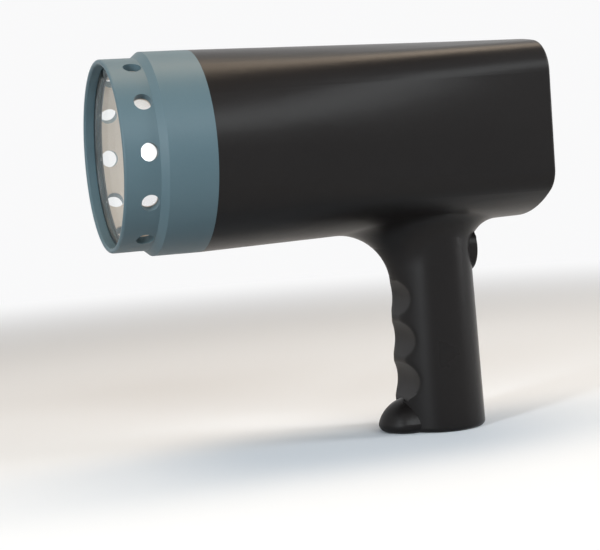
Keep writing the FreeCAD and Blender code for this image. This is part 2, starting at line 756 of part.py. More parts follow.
def screw(name, x, y, z, axis, thread, shank_radius, head_radius, head_height):
    """A screw whose head seats at (x, y, z); the shank runs along +axis from there."""
    shank = rod(name + "_shank", shank_radius, thread, x, y, z, axis)
    back = {"x": (-head_height, 0, 0), "y": (0, -head_height, 0), "-y": (0, head_height, 0),
            "z": (0, 0, -head_height)}[axis]
    head = rod(name + "_head", head_radius, head_height, x + back[0], y + back[1], z + back[2], axis)
    return joined(name, [shank, head])


def turned_about_axis(radius, index, count):
    """Y and Z, from the axis, of one of count places on a circle, counted from the top."""
    angle = 2 * math.pi * index / count
    return radius * (-math.sin(angle)), radius * math.cos(angle)


carrier_screws = []
for index in range(int(d.lug_count.value)):
    y, z = turned_about_axis(lug_circle, index, int(d.lug_count.value))
    thread = d.carrier_thickness + d.lug_length - d.spigot_wall * 2
    back_x = lip_x + spigot_end + d.carrier_thickness
    shank = rod("carrier_shank", d.screw_radius, thread, back_x - thread, y, d.axis_height + z)
    head = rod("carrier_head", d.head_radius, d.head_height, back_x, y, d.axis_height + z)
    carrier_screws.append(joined("carrier_screw", [shank, head]))
node(group("carrier_screw_set", carrier_screws), "carrier_screws")

# The ceramic base holds the two legs of the flash tube, their pins and the trigger lead.
base_front = lip_x + hub_step
lamp_disc = rod("lamp_disc", lamp_bore - d.slip, d.base_thickness, base_front, 0, d.axis_height)
base_holes = []
for side in (-1, 1):
    leg_y = side * d.tube_spread
    base_holes.append(rod("leg_seat", d.tube_radius + d.slip, d.tube_seat + d.slip,
                          base_front - d.slip, leg_y, d.axis_height))
    base_holes.append(rod("pin_hole", d.pin_radius + d.slip, d.base_thickness * 2,
                          base_front, leg_y, d.axis_height))
base_holes.append(rod("lead_hole", d.pin_radius + d.slip, d.base_thickness * 2,
                      base_front - d.slip, 0, d.axis_height))
node(less("lamp_ceramic", lamp_disc, base_holes), "lamp_base")

# The flash tube is a glass U whose bend stands in the reflector's focus.
legs_end = hub_step + d.tube_seat
bend_x = hub_step - d.tube_reach + d.tube_spread + d.tube_radius
tube = start_body("flash_tube")
bend_section = add_sketch(tube, "YZ_Plane", "bend_section", bend_x)
draw_circle(bend_section, -d.tube_spread, 0, d.tube_radius)
draw_circle(bend_section, -d.tube_spread, 0, d.tube_radius - d.tube_wall)
bend = tube.newObject("PartDesign::Revolution", "bend")
bend.Profile = bend_section
bend.ReferenceAxis = (bend_section, ["V_Axis"])
bend.Angle = 180.0
bend.Reversed = True
leg_section = add_sketch(tube, "YZ_Plane", "leg_section", bend_x)
for side in (-1, 1):
    draw_circle(leg_section, side * d.tube_spread, 0, d.tube_radius)
    draw_circle(leg_section, side * d.tube_spread, 0, d.tube_radius - d.tube_wall)
pad(tube, leg_section, legs_end - bend_x, "legs")
at_head(tube)

electrodes = []
pin_start = lip_x + legs_end - d.electrode_length
for side in (-1, 1):
    leg_y = side * d.tube_spread
    anode = rod("electrode_body", d.tube_radius - d.tube_wall, d.electrode_length,
                pin_start, leg_y, d.axis_height)
    pin_length = d.electrode_length + d.base_thickness - d.tube_seat + d.pin_tail
    lead = rod("electrode_pin", d.pin_radius, pin_length, pin_start, leg_y, d.axis_height)
    electrodes.append(joined("electrode", [anode, lead]))
node(group("electrode_pair", electrodes), "tube_electrodes")

band_start = lip_x + hub_step - d.band_place
band_outer = d.tube_radius + d.band_wall
band_parts = []
band_cuts = []
for side in (-1, 1):
    leg_y = side * d.tube_spread
    band_parts.append(rod("band_loop", band_outer, d.band_width, band_start, leg_y, d.axis_height))
    band_cuts.append(rod("band_hole", d.tube_radius, d.band_width * 3, band_start - d.band_width,
                         leg_y, d.axis_height))
band_parts.append(centred("band_bridge", band_start, 0, d.axis_height, d.band_width,
                          2 * (d.tube_spread - d.tube_radius), d.band_wall * 2))
lead_length = d.band_place + d.base_thickness + d.pin_tail
band_parts.append(rod("band_lead", d.pin_radius, lead_length, band_start, 0, d.axis_height))
node(less("band_pair", joined("band_all", band_parts), band_cuts), "trigger_band")

# The housing: a round-to-square barrel and an oval handle, blended, hollow, and split at Y = 0.


def axis_point(x, y, z):
    """A point given by its distance behind the lip, and Y and Z from the lamp axis."""
    return Vector(x + lip_x.value, y, z + d.axis_height.value)


def arc(a, b, c):
    return Part.Arc(a, b, c).toShape()


def rear_corners(inset):
    """Where the arcs of the rear outline meet, and the middles of its corner arcs (y, z)."""
    half = d.rear_half_width.value - inset
    places = []
    middles = []
    for sign, reach, bow, corner in (
            (1, d.rear_top.value, d.top_bow.value, d.top_corner.value),
            (-1, d.rear_bottom.value, d.bottom_bow.value, d.bottom_corner.value)):
        reach = reach - inset
        bow = bow - inset
        corner = corner - inset
        bow_z = sign * (reach - bow)
        centre_y = half - corner
        centre_z = bow_z + sign * math.sqrt((bow - corner) ** 2 - centre_y ** 2)
        on_bow = (centre_y * bow / (bow - corner), bow_z + (centre_z - bow_z) * bow / (bow - corner))
        on_side = (half, centre_z)
        mean_y = (on_bow[0] + on_side[0]) / 2 - centre_y
        mean_z = (on_bow[1] + on_side[1]) / 2 - centre_z
        length = math.hypot(mean_y, mean_z)
        middles.append((centre_y + mean_y / length * corner, centre_z + mean_z / length * corner))
        places += [on_bow, on_side] if sign > 0 else [on_side, on_bow]
    return places, middles


def rear_outline(x, inset=0.0):
    """The bowed square of the rear rim at x, smaller by inset."""
    (top, upper, lower, bottom), (high, low) = rear_corners(inset)
    crown = axis_point(x, 0, d.rear_top.value - inset)
    keel = axis_point(x, 0, inset - d.rear_bottom.value)

    def right(place):
        return axis_point(x, place[0], place[1])

    def left(place):
        return axis_point(x, -place[0], place[1])

    return Part.Wire([
        arc(left(top), crown, right(top)),
        arc(right(top), right(high), right(upper)),
        Part.makeLine(right(upper), right(lower)),
        arc(right(lower), right(low), right(bottom)),
        arc(right(bottom), keel, left(bottom)),
        arc(left(bottom), left(low), left(lower)),
        Part.makeLine(left(lower), left(upper)),
        arc(left(upper), left(high), left(top)),
    ])


def round_outline(x, radius):
    """A circle cut at the bearings of the rear outline's corners, so that the two can be lofted."""
    places, middles = rear_corners(0.0)
    bearings = [math.atan2(y, z) for y, z in places]
    bearings = [-bearings[0]] + bearings + [2 * math.pi - b for b in reversed(bearings)]

    def at(bearing):
        return axis_point(x, radius * math.sin(bearing), radius * math.cos(bearing))

    arcs = []
    for first, last in zip(bearings, bearings[1:]):
        arcs.append(arc(at(first), at((first + last) / 2), at(last)))
    return Part.Wire(arcs)


def oval(height, middle, depth, breadth):
    """An ellipse in four quarters, cut at the front, back and sides."""
    centre = Vector(middle, 0, height)
    if depth >= breadth:
        curve = Part.Ellipse(centre, depth, breadth)
    else:
        curve = Part.Ellipse(Vector(middle, breadth, height), Vector(middle - depth, 0, height), centre)
    ends = (Vector(middle + depth, 0, height), Vector(middle, breadth, height),
            Vector(middle - depth, 0, height), Vector(middle, -breadth, height))
    turns = sorted(curve.parameter(end) % (2 * math.pi) for end in ends)
    turns.append(turns[0] + 2 * math.pi)
    return Part.Wire([Part.ArcOfEllipse(curve, a, b).toShape() for a, b in zip(turns, turns[1:])])


front_x = d.hood_length.value
back_x = d.body_length.value
barrel = Part.makeLoft([round_outline(front_x, d.barrel_radius.value), rear_outline(back_x)], True, True)
rim_edges = [e for e in barrel.Edges if e.BoundBox.XMin > rear_x.value - 0.01]
barrel = barrel.makeFillet(d.rear_round.value, rim_edges)
barrel_form = formed("barrel_form", barrel)

grip_top = d.axis_height.value - d.grip_sunk.value
grip = Part.makeLoft([
    oval(0, 0, d.grip_depth.value, d.grip_breadth.value),
    oval(grip_top, -d.grip_neck_lead.value, d.grip_neck_depth.value, d.grip_neck_breadth.value),
], True, True)
foot_edges = [e for e in grip.Edges if e.BoundBox.ZMax < 0.01]
grip = grip.makeFillet(d.base_round.value, foot_edges)
grip_form = formed("grip_form", grip)
doc.recompute()

raw_union = joined("raw_union", [barrel_form, grip_form])
doc.recompute()
sweeps = doc.addObject("Part::Fillet", "swept_union")
sweeps.Base = raw_union
grip_reach = d.grip_depth.value


def sweep_radius(point):
    """The blend between handle and barrel is wide in front, less at the sides, small behind."""
    if point.x < -grip_reach / 2:
        return d.front_sweep.value
    if point.x > grip_reach / 2:
        return d.rear_sweep.value
    return d.side_sweep.value


swept = []
for index, edge in enumerate(raw_union.Shape.Edges, start=1):
    box = edge.BoundBox
    level = d.finger_top.value < box.ZMin and box.ZMax < d.axis_height.value
    inside = max(abs(box.XMin), abs(box.XMax), abs(box.YMin), abs(box.YMax)) < grip_reach + 1
    if level and inside:
        start = edge.valueAt(edge.FirstParameter)
        end = edge.valueAt(edge.LastParameter)
        swept.append((index, sweep_radius(start), sweep_radius(end)))
sweeps.Edges = swept


def grip_front(height):
    """X of the handle's front at a height above the base."""
    share = height / grip_top
    neck = d.grip_neck_depth.value + d.grip_neck_lead.value
    return -(d.grip_depth.value + (neck - d.grip_depth.value) * share)


def finger_cutter():
    """A prism in front of the handle, whose face is a chain of hollows and rounded crests."""
    hollow = d.finger_radius.value
    crest = d.crest_radius.value
    pitch = d.finger_pitch.value
    reach = math.sqrt((hollow + crest) ** 2 - (pitch / 2) ** 2)
    count = int(d.finger_count.value)
    levels = [d.finger_top.value - pitch * index for index in range(count)]
    first_floor = grip_front(levels[0]) + d.finger_depth.value
    floor_x = [first_floor + d.finger_lean.value * index for index in range(count)]
    centres = [(x - hollow, level) for x, level in zip(floor_x, levels)]
    crests = []
    for index in range(count + 1):
        level = d.finger_top.value + pitch / 2 - pitch * index
        near = centres[min(index, count - 1)][0]
        crests.append((near + reach, level))
    front = grip_front(0) - hollow * 2
    edges = []

    def point(x, z):
        return Vector(x, 0, z)

    def contact(centre, other):
        share = hollow / (hollow + crest)
        return point(centre[0] + (other[0] - centre[0]) * share, centre[1] + (other[1] - centre[1]) * share)

    last = None
    for index in range(count):
        upper = contact(centres[index], crests[index])
        lower = contact(centres[index], crests[index + 1])
        if index == 0:
            edges.append(Part.makeLine(point(front, upper.z), upper))
        else:
            crest_tip = point(crests[index][0] - crest, (last.z + upper.z) / 2)
            edges.append(arc(last, crest_tip, upper))
        edges.append(arc(upper, point(floor_x[index], levels[index]), lower))
        last = lower
    low_tip = point(crests[count][0] - crest, crests[count][1])
    slant = point(crests[count][0] - crest * math.cos(math.pi / 8),
                  crests[count][1] + crest * math.sin(math.pi / 8))
    edges.append(arc(last, slant, low_tip))
    edges.append(Part.makeLine(low_tip, point(front, low_tip.z)))
    edges.append(Part.makeLine(point(front, low_tip.z), edges[0].Vertexes[0].Point))
    wide = d.grip_breadth.value * 2
    face = Part.Face(Part.Wire(edges))
    face.translate(Vector(0, -wide, 0))
    return face.extrude(Vector(0, wide * 2, 0))


fingers = formed("finger_cutter", finger_cutter())


def toe_form():
    """The toe is a bun that stands half in the handle."""
    reach = d.toe_reach.value
    top = d.toe_height.value
    nose = d.toe_nose.value
    foot = d.toe_foot.value
    shoulder_r = reach * d.toe_crown_share.value
    shoulder_z = nose + (top - nose) * d.toe_crown_share.value
    lower_r = foot + (reach - foot) * d.toe_heel_share.value
    lower_z = nose * d.toe_heel_rise.value

    def point(r, z):
        return Vector(r, 0, z)

    outline = Part.Wire([
        Part.makeLine(point(0, 0), point(foot, 0)),
        arc(point(foot, 0), point(lower_r, lower_z), point(reach, nose)),
        arc(point(reach, nose), point(shoulder_r, shoulder_z), point(0, top)),
        Part.makeLine(point(0, top), point(0, 0)),
    ])
    bun = Part.Face(outline).revolve(Vector(0, 0, 0), Vector(0, 0, 1), 360)
    bun.translate(Vector(-d.toe_centre.value, 0, 0))
    return bun


toe = formed("toe_form", toe_form())
pad_start = d.grip_neck_depth / 2
switch_pad = rod("switch_pad", d.pad_radius, d.pad_place - pad_start, pad_start, 0, d.rocker_level)
grooved = less("grooved_form", sweeps, [fingers])
outer_form = joined("outer_form", [grooved, toe, switch_pad])


def rear_prism(start, end, inset):
    """The rear outline, smaller by inset, from start to end behind the lip."""
    return Part.Face(rear_outline(start, inset)).extrude(Vector(end - start, 0, 0))


def hollow_form():
    """The space inside the barrel and the handle, with the slot that holds the panel."""
    wall = d.wall.value
    slot_back = back_x - d.rim_lip.value
    slot_front = slot_back - d.panel_thickness.value
    ledge_front = slot_front - d.ledge_width.value
    front = round_outline(front_x - 1, d.barrel_radius.value - wall)
    back = rear_outline(ledge_front, wall)
    space = Part.makeLoft([front, back], True, True)
    bore = Part.makeCylinder(housing_bore.value, d.spigot_length.value + d.slip.value + 1,
                             axis_point(front_x - 1, 0, 0), Vector(1, 0, 0))
    parts = [
        bore,
        rear_prism(ledge_front - 1, slot_front + 1, d.ledge_inset.value),
        rear_prism(slot_front, slot_back, d.slot_inset.value),
        rear_prism(slot_back - 1, back_x + 1, d.rim_width.value),
    ]
    neck_depth = d.grip_neck_depth.value - d.grip_neck_lead.value - wall
    foot_depth = d.grip_depth.value - wall
    last_lean = d.finger_lean.value * (d.finger_count.value - 1)
    groove_face = -grip_front(d.finger_top.value) - d.finger_depth.value - last_lean - wall
    neck_middle = (neck_depth - groove_face) / 2
    foot_middle = (foot_depth - groove_face) / 2
    parts.append(Part.makeLoft([
        oval(d.base_wall.value, foot_middle, (foot_depth + groove_face) / 2, d.grip_breadth.value - wall),
        oval(grip_top, neck_middle, (neck_depth + groove_face) / 2, d.grip_neck_breadth.value - wall),
    ], True, True))
    return space.multiFuse(parts)


hollow = formed("hollow_form", hollow_form())

# The spigot's rib runs round the inside of the barrel, just behind the joint.
rib_disc = rod("rib_disc", housing_bore + d.wall / 2, d.rib_width, lip_x + rib_start, 0, d.axis_height)
rib_hole = rod("rib_hole", spigot_radius - d.rib_depth + d.slip, d.rib_width * 3,
               lip_x + rib_start - d.rib_width, 0, d.axis_height)
rib = less("rib_ring", rib_disc, [rib_hole])

shell = less("hollow_shell", outer_form, [hollow])

# Two screws pass through the handle and four through the barrel, all from the right.
screw_places = [
    (d.grip_screw_back, d.grip_screw_high),
    (d.grip_screw_back, d.grip_screw_low),
    (lip_x + d.hood_length + d.boss_front, d.axis_height + d.barrel_radius - d.boss_drop),
    (lip_x + d.hood_length + d.boss_front, d.axis_height - d.barrel_radius + d.boss_drop),
    (rear_x - d.boss_rear, d.axis_height + d.rear_top - d.boss_rear_drop),
    (rear_x - d.boss_rear, d.axis_height - d.rear_bottom + d.boss_rear_drop),
]
right_bosses = []
left_bosses = []
through_holes = []
thread_holes = []
housing_screws = []
reach = d.barrel_radius
half_gap = d.parting_gap / 2
for index, (x, z) in enumerate(screw_places):
    right_bosses.append(rod("right_boss_%d" % index, d.boss_radius, reach, x, half_gap, z, "y"))
    left_bosses.append(rod("left_boss_%d" % index, d.boss_radius, reach, x, -half_gap, z, "-y"))
    head_seat = half_gap + d.clamp_length
    through_holes.append(rod("through_hole_%d" % index, d.screw_radius + d.screw_clearance, reach,
                             x, 0, z, "y"))
    through_holes.append(rod("counterbore_%d" % index, d.head_radius + d.head_play, reach,
                             x, head_seat, z, "y"))
    thread_holes.append(rod("thread_hole_%d" % index, d.screw_radius, d.bite_length, x, 0, z, "-y"))
    housing_screws.append(screw("housing_screw_%d" % index, x, head_seat, z, "-y",
                                d.clamp_length + d.bite_length - d.wall / 2,
                                d.screw_radius, d.head_radius, d.head_height))
node(group("housing_screw_set", housing_screws), "housing_screws")

# Posts on the floor of the barrel carry the power board and the transformer's strap.
post_places = []
for x in (power_start + d.post_inset, power_start + power_long - d.post_inset):
    for side in (-1, 1):
        post_places.append((lip_x + x, side * (d.power_half - d.post_inset), d.power_level))
for side in (-1, 1):
    post_places.append((lip_x + core_place, side * d.foot_place, d.foot_level))
posts = {-1: [], 1: []}
post_holes = {-1: [], 1: []}
floor_z = d.axis_height - d.barrel_radius
for index, (x, y, level) in enumerate(post_places):
    side = -1 if y.value < 0 else 1
    height = d.barrel_radius + level
    posts[side].append(rod("post_%d" % index, d.post_radius, height, x, y, floor_z, "z"))
    post_holes[side].append(rod("post_hole_%d" % index, d.screw_radius, d.post_bite,
                                x, y, d.axis_height + level - d.post_bite, "z"))

# The base lets the inlet through, and the pad lets the switch through.
inlet_hole = centred("inlet_hole", -d.inlet_long / 2 - d.slip, 0, as_size(0),
                     d.inlet_long + d.slip * 2, d.inlet_wide + d.slip * 2, d.inlet_tall * 2)
keeper = centred("inlet_keeper", -d.grip_depth, 0,
                 d.base_wall + d.inlet_flange_thickness + d.slip * 2 + d.keeper_thickness / 2,
                 d.grip_depth * 2, d.grip_breadth * 2, d.keeper_thickness)
switch_hole = rod("switch_hole", d.barrel_switch + d.slip, d.pad_place, pad_start, 0, d.rocker_level)
pad_dish = rod("pad_dish", d.dish_radius, d.pad_place, d.pad_place - d.dish_depth, 0, d.rocker_level)

half_long = d.body_length * 2
half_tall = d.axis_height * 2
for label, side, bosses, holes in (
        ("left_housing", -1, left_bosses, thread_holes),
        ("right_housing", 1, right_bosses, through_holes)):
    half_y = half_gap if side > 0 else -half_gap - half_long
    half_space = block(label + "_space", -half_long / 2, half_y, -half_tall / 4,
                       half_long, half_long, half_tall)
    inner = joined(label + "_inner", bosses + posts[side] + [rib, keeper])
    trimmed = shared(label + "_trim", inner, outer_form)
    solid = joined(label + "_solid", [shell, trimmed])
    half = shared(label + "_half", solid, half_space)
    drilled = less(label + "_drilled", half,
                   holes + post_holes[side] + [inlet_hole, switch_hole, pad_dish])
    node(drilled, label)

# The rear panel lies in the housing's slot and carries the display, the keys and the knobs.
panel_inset = (d.slot_inset + d.slip).value
panel_plate = formed("panel_plate", rear_prism(panel_back.value, panel_face.value, panel_inset))
standoffs = [
    (-d.standoff_across, d.standoff_up),
    (d.standoff_across, d.standoff_up),
    (d.standoff_low_a, -d.standoff_down),
    (d.standoff_low_b, -d.standoff_down),
]
key_places = []
for row, row_name in enumerate(("upper", "lower")):
    for column, column_name in enumerate(("left", "right")):
        key_places.append(("key_%s_%s" % (row_name, column_name),
                           d.key_left + d.key_pitch_across * column, d.key_up - d.key_pitch_down * row))
knob_places = [("fine", d.fine_across), ("coarse", d.coarse_across)]


def behind(x):
    """X of a plane that is given by its distance behind the lip."""
    return lip_x + x


def level(z):
    """Z of a height that is given from the lamp axis."""
    return d.axis_height + z


panel_posts = []
panel_holes = []
display_screws = []
board_holes = []
for index, (y, z) in enumerate(standoffs):
    panel_posts.append(rod("panel_post_%d" % index, d.standoff_radius, d.board_setback,
                           behind(board_face), y, level(z)))
    panel_holes.append(rod("panel_thread_%d" % index, d.small_screw, d.small_bite,
                           behind(board_face), y, level(z)))
    board_holes.append(rod("board_hole_%d" % index, d.small_screw + d.slip, d.board_thickness * 3,
                           behind(board_face) - d.board_thickness * 2, y, level(z)))
    display_screws.append(screw("display_screw_%d" % index, behind(board_face) - d.board_thickness,
                                y, level(z), "x", d.board_thickness + d.small_bite - d.slip,
                                d.small_screw, d.small_head, d.small_head_height))
panel_holes.append(centred("display_opening", behind(panel_back) - d.slip, as_size(0),
                           level(d.display_height), d.panel_thickness * 2, d.display_wide, d.display_tall))
for label, y, z in key_places:
    panel_holes.append(centred(label + "_opening", behind(panel_back) - d.slip, y, level(z),
                               d.panel_thickness * 2, d.key_wide + d.key_play * 2,
                               d.key_tall + d.key_play * 2))
for label, y in knob_places:
    panel_holes.append(rod(label + "_bush_hole", d.bush_radius + d.slip, d.panel_thickness * 2,
                           behind(panel_back) - d.slip, y, level(d.knob_level)))
panel_holes.append(rod("jack_hole", d.jack_nose + d.slip, d.panel_thickness * 2,
                       behind(panel_back) - d.slip, d.jack_across, level(d.jack_level)))
panel_solid = joined("panel_solid", [panel_plate] + panel_posts)
node(less("panel_drilled", panel_solid, panel_holes), "rear_panel")
node(group("display_screw_set", display_screws), "display_screws")

# A clear lens closes the display opening; the display glass stands in a dark frame behind it.
lens_front = centred("lens_front", behind(panel_back) - d.slip, as_size(0), level(d.display_height),
                     d.panel_thickness - d.lens_recess + d.slip,
                     d.display_wide - d.slip * 2, d.display_tall - d.slip * 2)
lens_edge = centred("lens_edge", behind(panel_back) - d.lens_flange_thickness, as_size(0),
                    level(d.display_height), d.lens_flange_thickness,
                    d.display_wide + d.lens_flange * 2, d.display_tall + d.lens_flange * 2)
node(joined("lens_whole", [lens_front, lens_edge]), "display_window")

frame_face = panel_back - d.lens_flange_thickness
frame_depth = frame_face - board_face
glass_wide = d.display_wide + d.lcd_border * 2
glass_tall = d.display_tall + d.lcd_border * 2
frame_block = centred("frame_block", behind(board_face), as_size(0), level(d.display_height),
                      frame_depth, glass_wide + d.lcd_frame_wall * 2, glass_tall + d.lcd_frame_wall * 2)
frame_mouth = centred("frame_mouth", behind(frame_face) - d.lcd_setback, as_size(0),
                      level(d.display_height), d.lcd_setback * 2,
                      d.display_wide - d.slip, d.display_tall - d.slip)
frame_seat = centred("frame_seat", behind(board_face) - d.slip, as_size(0), level(d.display_height),
                     frame_depth - d.lcd_setback + d.slip, glass_wide, glass_tall)
node(less("frame_open", frame_block, [frame_mouth, frame_seat]), "display_frame")
node(centred("display_cell", behind(frame_face) - d.lcd_setback - d.lcd_thickness, as_size(0),
             level(d.display_height), d.lcd_thickness, glass_wide - d.slip * 2, glass_tall - d.slip * 2),
     "display_glass")

# The display board hangs on the panel's posts.
board_plate = block("board_plate", behind(board_face) - d.board_thickness, -d.display_board_half,
                    level(-d.display_board_bottom), d.board_thickness, d.display_board_half * 2,
                    d.display_board_top + d.display_board_bottom)
board_holes.append(rod("board_jack_hole", d.jack_barrel + d.slip, d.board_thickness * 3,
                       behind(board_face) - d.board_thickness * 2, d.jack_across, level(d.jack_level)))
node(less("board_drilled", board_plate, board_holes), "display_board")
node(centred("chip_block", behind(board_face) - d.board_thickness - d.chip_thick, as_size(0),
             level(0), d.chip_thick, d.chip_side, d.chip_side), "control_chip")

# Each key slides in the panel, and its stem stands over a tact switch on the board.
tact_switches = []
plunger_top = board_face + d.switch_height + d.plunger_height
for label, y, z in key_places:
    can = centred(label + "_can", behind(board_face), y, level(z), d.switch_height,
                  d.switch_body, d.switch_body)
    plunger = rod(label + "_plunger", d.plunger_radius, d.switch_height + d.plunger_height,
                  behind(board_face), y, level(z))
    tact_switches.append(joined(label + "_switch", [can, plunger]))
    key = start_body(label)
    flange_back = panel_back - d.slip - d.key_flange_thickness
    cap_outline = add_sketch(key, "YZ_Plane", label + "_cap_outline", flange_back)
    draw_box(cap_outline, y, z, d.key_wide, d.key_tall)
    cap = pad(key, cap_outline, panel_face + d.key_proud - flange_back, label + "_cap")
    cap_corner = (panel_face + d.key_proud).value

    def on_cap(edge, corner=cap_corner):
        box = edge.BoundBox
        upright = box.XLength > d.key_proud.value and box.YLength < 0.01 and box.ZLength < 0.01
        return upright or box.XMin > corner - 0.01

    round_edges(key, cap, on_cap, d.key_round, label + "_rounded")
    flange_outline = add_sketch(key, "YZ_Plane", label + "_flange_outline", flange_back)
    draw_box(flange_outline, y, z, d.key_wide + d.key_flange * 2, d.key_tall + d.key_flange * 2)
    pad(key, flange_outline, d.key_flange_thickness, label + "_flange")
    stem_outline = add_sketch(key, "YZ_Plane", label + "_stem_outline", plunger_top + d.key_travel + d.slip)
    draw_circle(stem_outline, y, z, d.key_stem)
    pad(key, stem_outline, flange_back - plunger_top - d.key_travel - d.slip, label + "_stem")
    at_head(key)
node(group("tact_switch_set", tact_switches), "tact_switches")

# Each knob sits on the shaft of a potentiometer, which hangs in the panel by its bush and nut.
nuts = []
knob_back = panel_face + d.knob_gap
for label, y in knob_places:
    z = level(d.knob_level)
    can = rod(label + "_can", d.pot_radius, d.board_setback, behind(board_face), y, z)
    bush = rod(label + "_bush", d.bush_radius, d.panel_thickness + d.bush_proud, behind(panel_back), y, z)
    bore_start = board_face + d.board_setback / 2
    shaft_start = bore_start + d.slip
    bore = rod(label + "_bore", d.shaft_radius + d.running, d.board_setback + d.shaft_length,
               behind(bore_start), y, z)
    node(less(label + "_pot_drilled", joined(label + "_pot_solid", [can, bush]), [bore]),
         label + "_potentiometer")
    node(rod(label + "_spindle", d.shaft_radius, d.shaft_length, behind(shaft_start), y, z),
         label + "_shaft")
    nut = doc.addObject("Part::Prism", label + "_hexagon")
    nut.Polygon = 6
    bind(nut, "Circumradius", d.nut_radius)
    bind(nut, "Height", d.nut_height)
    place(nut, behind(panel_face), y, z, TURNS["x"])
    nut_hole = rod(label + "_nut_hole", d.bush_radius, d.nut_height * 3,
                   behind(panel_face) - d.nut_height, y, z)
    nuts.append(less(label + "_nut", nut, [nut_hole]))

    knob = start_body(label + "_knob")
    shaft_end = shaft_start + d.shaft_length
    knob_profile = add_sketch(knob, "XZ_Plane", label + "_profile")
    draw_outline(knob_profile, [
        (0, d.knob_hollow),
        (0, d.skirt_radius),
        (d.skirt_height / 2, d.skirt_radius),
        (d.skirt_height, d.skirt_radius - d.skirt_height / 4),
        (d.skirt_height, d.knob_radius),
        (d.knob_height, d.knob_top_radius),
        (d.knob_height, 0),
        (shaft_end - knob_back, 0),
        (shaft_end - knob_back, d.shaft_radius),
        (d.knob_hollow_depth, d.shaft_radius),
        (d.knob_hollow_depth, d.knob_hollow),
    ])
    knob_turned = spin(knob, knob_profile, label + "_turned")
    knob_top = d.knob_height.value

    def on_top(edge, top=knob_top):
        box = edge.BoundBox
        return box.XMin > top - 0.01 and box.YLength > d.knob_radius.value

    round_edges(knob, knob_turned, on_top, d.knob_round, label + "_rounded")
    flute_outline = add_sketch(knob, "YZ_Plane", label + "_flute_outline", d.skirt_height)
    draw_circle(flute_outline, 0, d.knob_radius - d.flute_depth + d.flute_radius, d.flute_radius)
    flute = pocket(knob, flute_outline, d.knob_height, label + "_flute", reverse=True)
    around(knob, flute, d.flute_count, label + "_flutes")
    place(knob, behind(knob_back), y, z)
node(group("pot_nut_set", nuts), "potentiometer_nuts")

# The trigger jack stands between panel and board, and its barrel runs on through the board.
jack_mouth = panel_face - d.jack_recess
jack_end = jack_mouth - d.jack_depth - d.panel_thickness / 2
jack_y = d.jack_across
jack_z = level(d.jack_level)
jack_parts = [
    centred("jack_block", behind(board_face), jack_y, jack_z, d.board_setback, d.jack_box, d.jack_box),
    rod("jack_tube", d.jack_nose, jack_mouth - panel_back, behind(panel_back), jack_y, jack_z),
    rod("jack_tail", d.jack_barrel, board_face - jack_end, behind(jack_end), jack_y, jack_z),
]
jack_hollow = rod("jack_hollow", d.jack_bore, d.jack_depth + d.slip, behind(jack_mouth) - d.jack_depth,
                  jack_y, jack_z)
node(less("jack_drilled", joined("jack_solid", jack_parts), [jack_hollow]), "trigger_jack")

# The power switch: a round body pressed into the pad, and a rocker that is a slice of a ball.
switch_z = d.rocker_level
seat_x = d.pad_place - d.dish_depth
bezel_x = seat_x + d.bezel_thickness
pivot_x = bezel_x - d.rocker_sunk
bezel = rod("bezel", d.bezel_radius, d.bezel_thickness, seat_x, 0, switch_z)
case = rod("switch_case", d.barrel_switch, d.switch_depth, seat_x - d.switch_depth, 0, switch_z)
well_radius = d.rocker_radius + d.rocker_play
well = rod("rocker_well", well_radius, d.rocker_back + d.rocker_radius * 2,
           pivot_x - d.rocker_radius - d.rocker_play, 0, switch_z)
switch_shell = less("switch_hollow", joined("switch_solid", [bezel, case]), [well])
pivot_pin = rod("pivot_pin", d.rocker_pin - d.running, well_radius * 2, pivot_x, -well_radius, switch_z, "y")
node(joined("switch_with_pin", [switch_shell, pivot_pin]), "power_switch")
terminals = []
for step in (-1, 0, 1):
    tab_z = switch_z + step * d.tab_spread
    terminals.append(centred("terminal", seat_x - d.switch_depth - d.tab_long, as_size(0), tab_z,
                             d.tab_long, d.tab_wide, d.tab_thick))
node(group("terminal_set", terminals), "switch_terminals")


def rocker_form():
    """The ball's slice in its middle position: a shallow V in front, flat behind, bored for the pin."""
    radius = d.rocker_radius.value
    tilt = math.radians(d.rocker_tilt.value)
    reach = radius * 2
    rise = reach * math.tan(tilt)
    face = d.rocker_sunk.value
    outline = Part.makePolygon([
        Vector(-d.rocker_back.value, 0, -reach),
        Vector(face + rise, 0, -reach),
        Vector(face, 0, 0),
        Vector(face + rise, 0, reach),
        Vector(-d.rocker_back.value, 0, reach),
        Vector(-d.rocker_back.value, 0, -reach),
    ])
    slab = Part.Face(outline)
    slab.translate(Vector(0, -reach, 0))
    slab = slab.extrude(Vector(0, reach * 2, 0))
    ball = Part.makeSphere(radius)
    bore = Part.makeCylinder(d.rocker_pin.value, reach * 2, Vector(0, -reach, 0), Vector(0, 1, 0))
    return ball.common(slab).cut(bore)


rocker = node(formed("rocker_slice", rocker_form()), "power_rocker")
rocker_lean = Rotation(Vector(0, 1, 0), d.rocker_tilt.value)
place(rocker, pivot_x, 0, switch_z, rocker_lean)

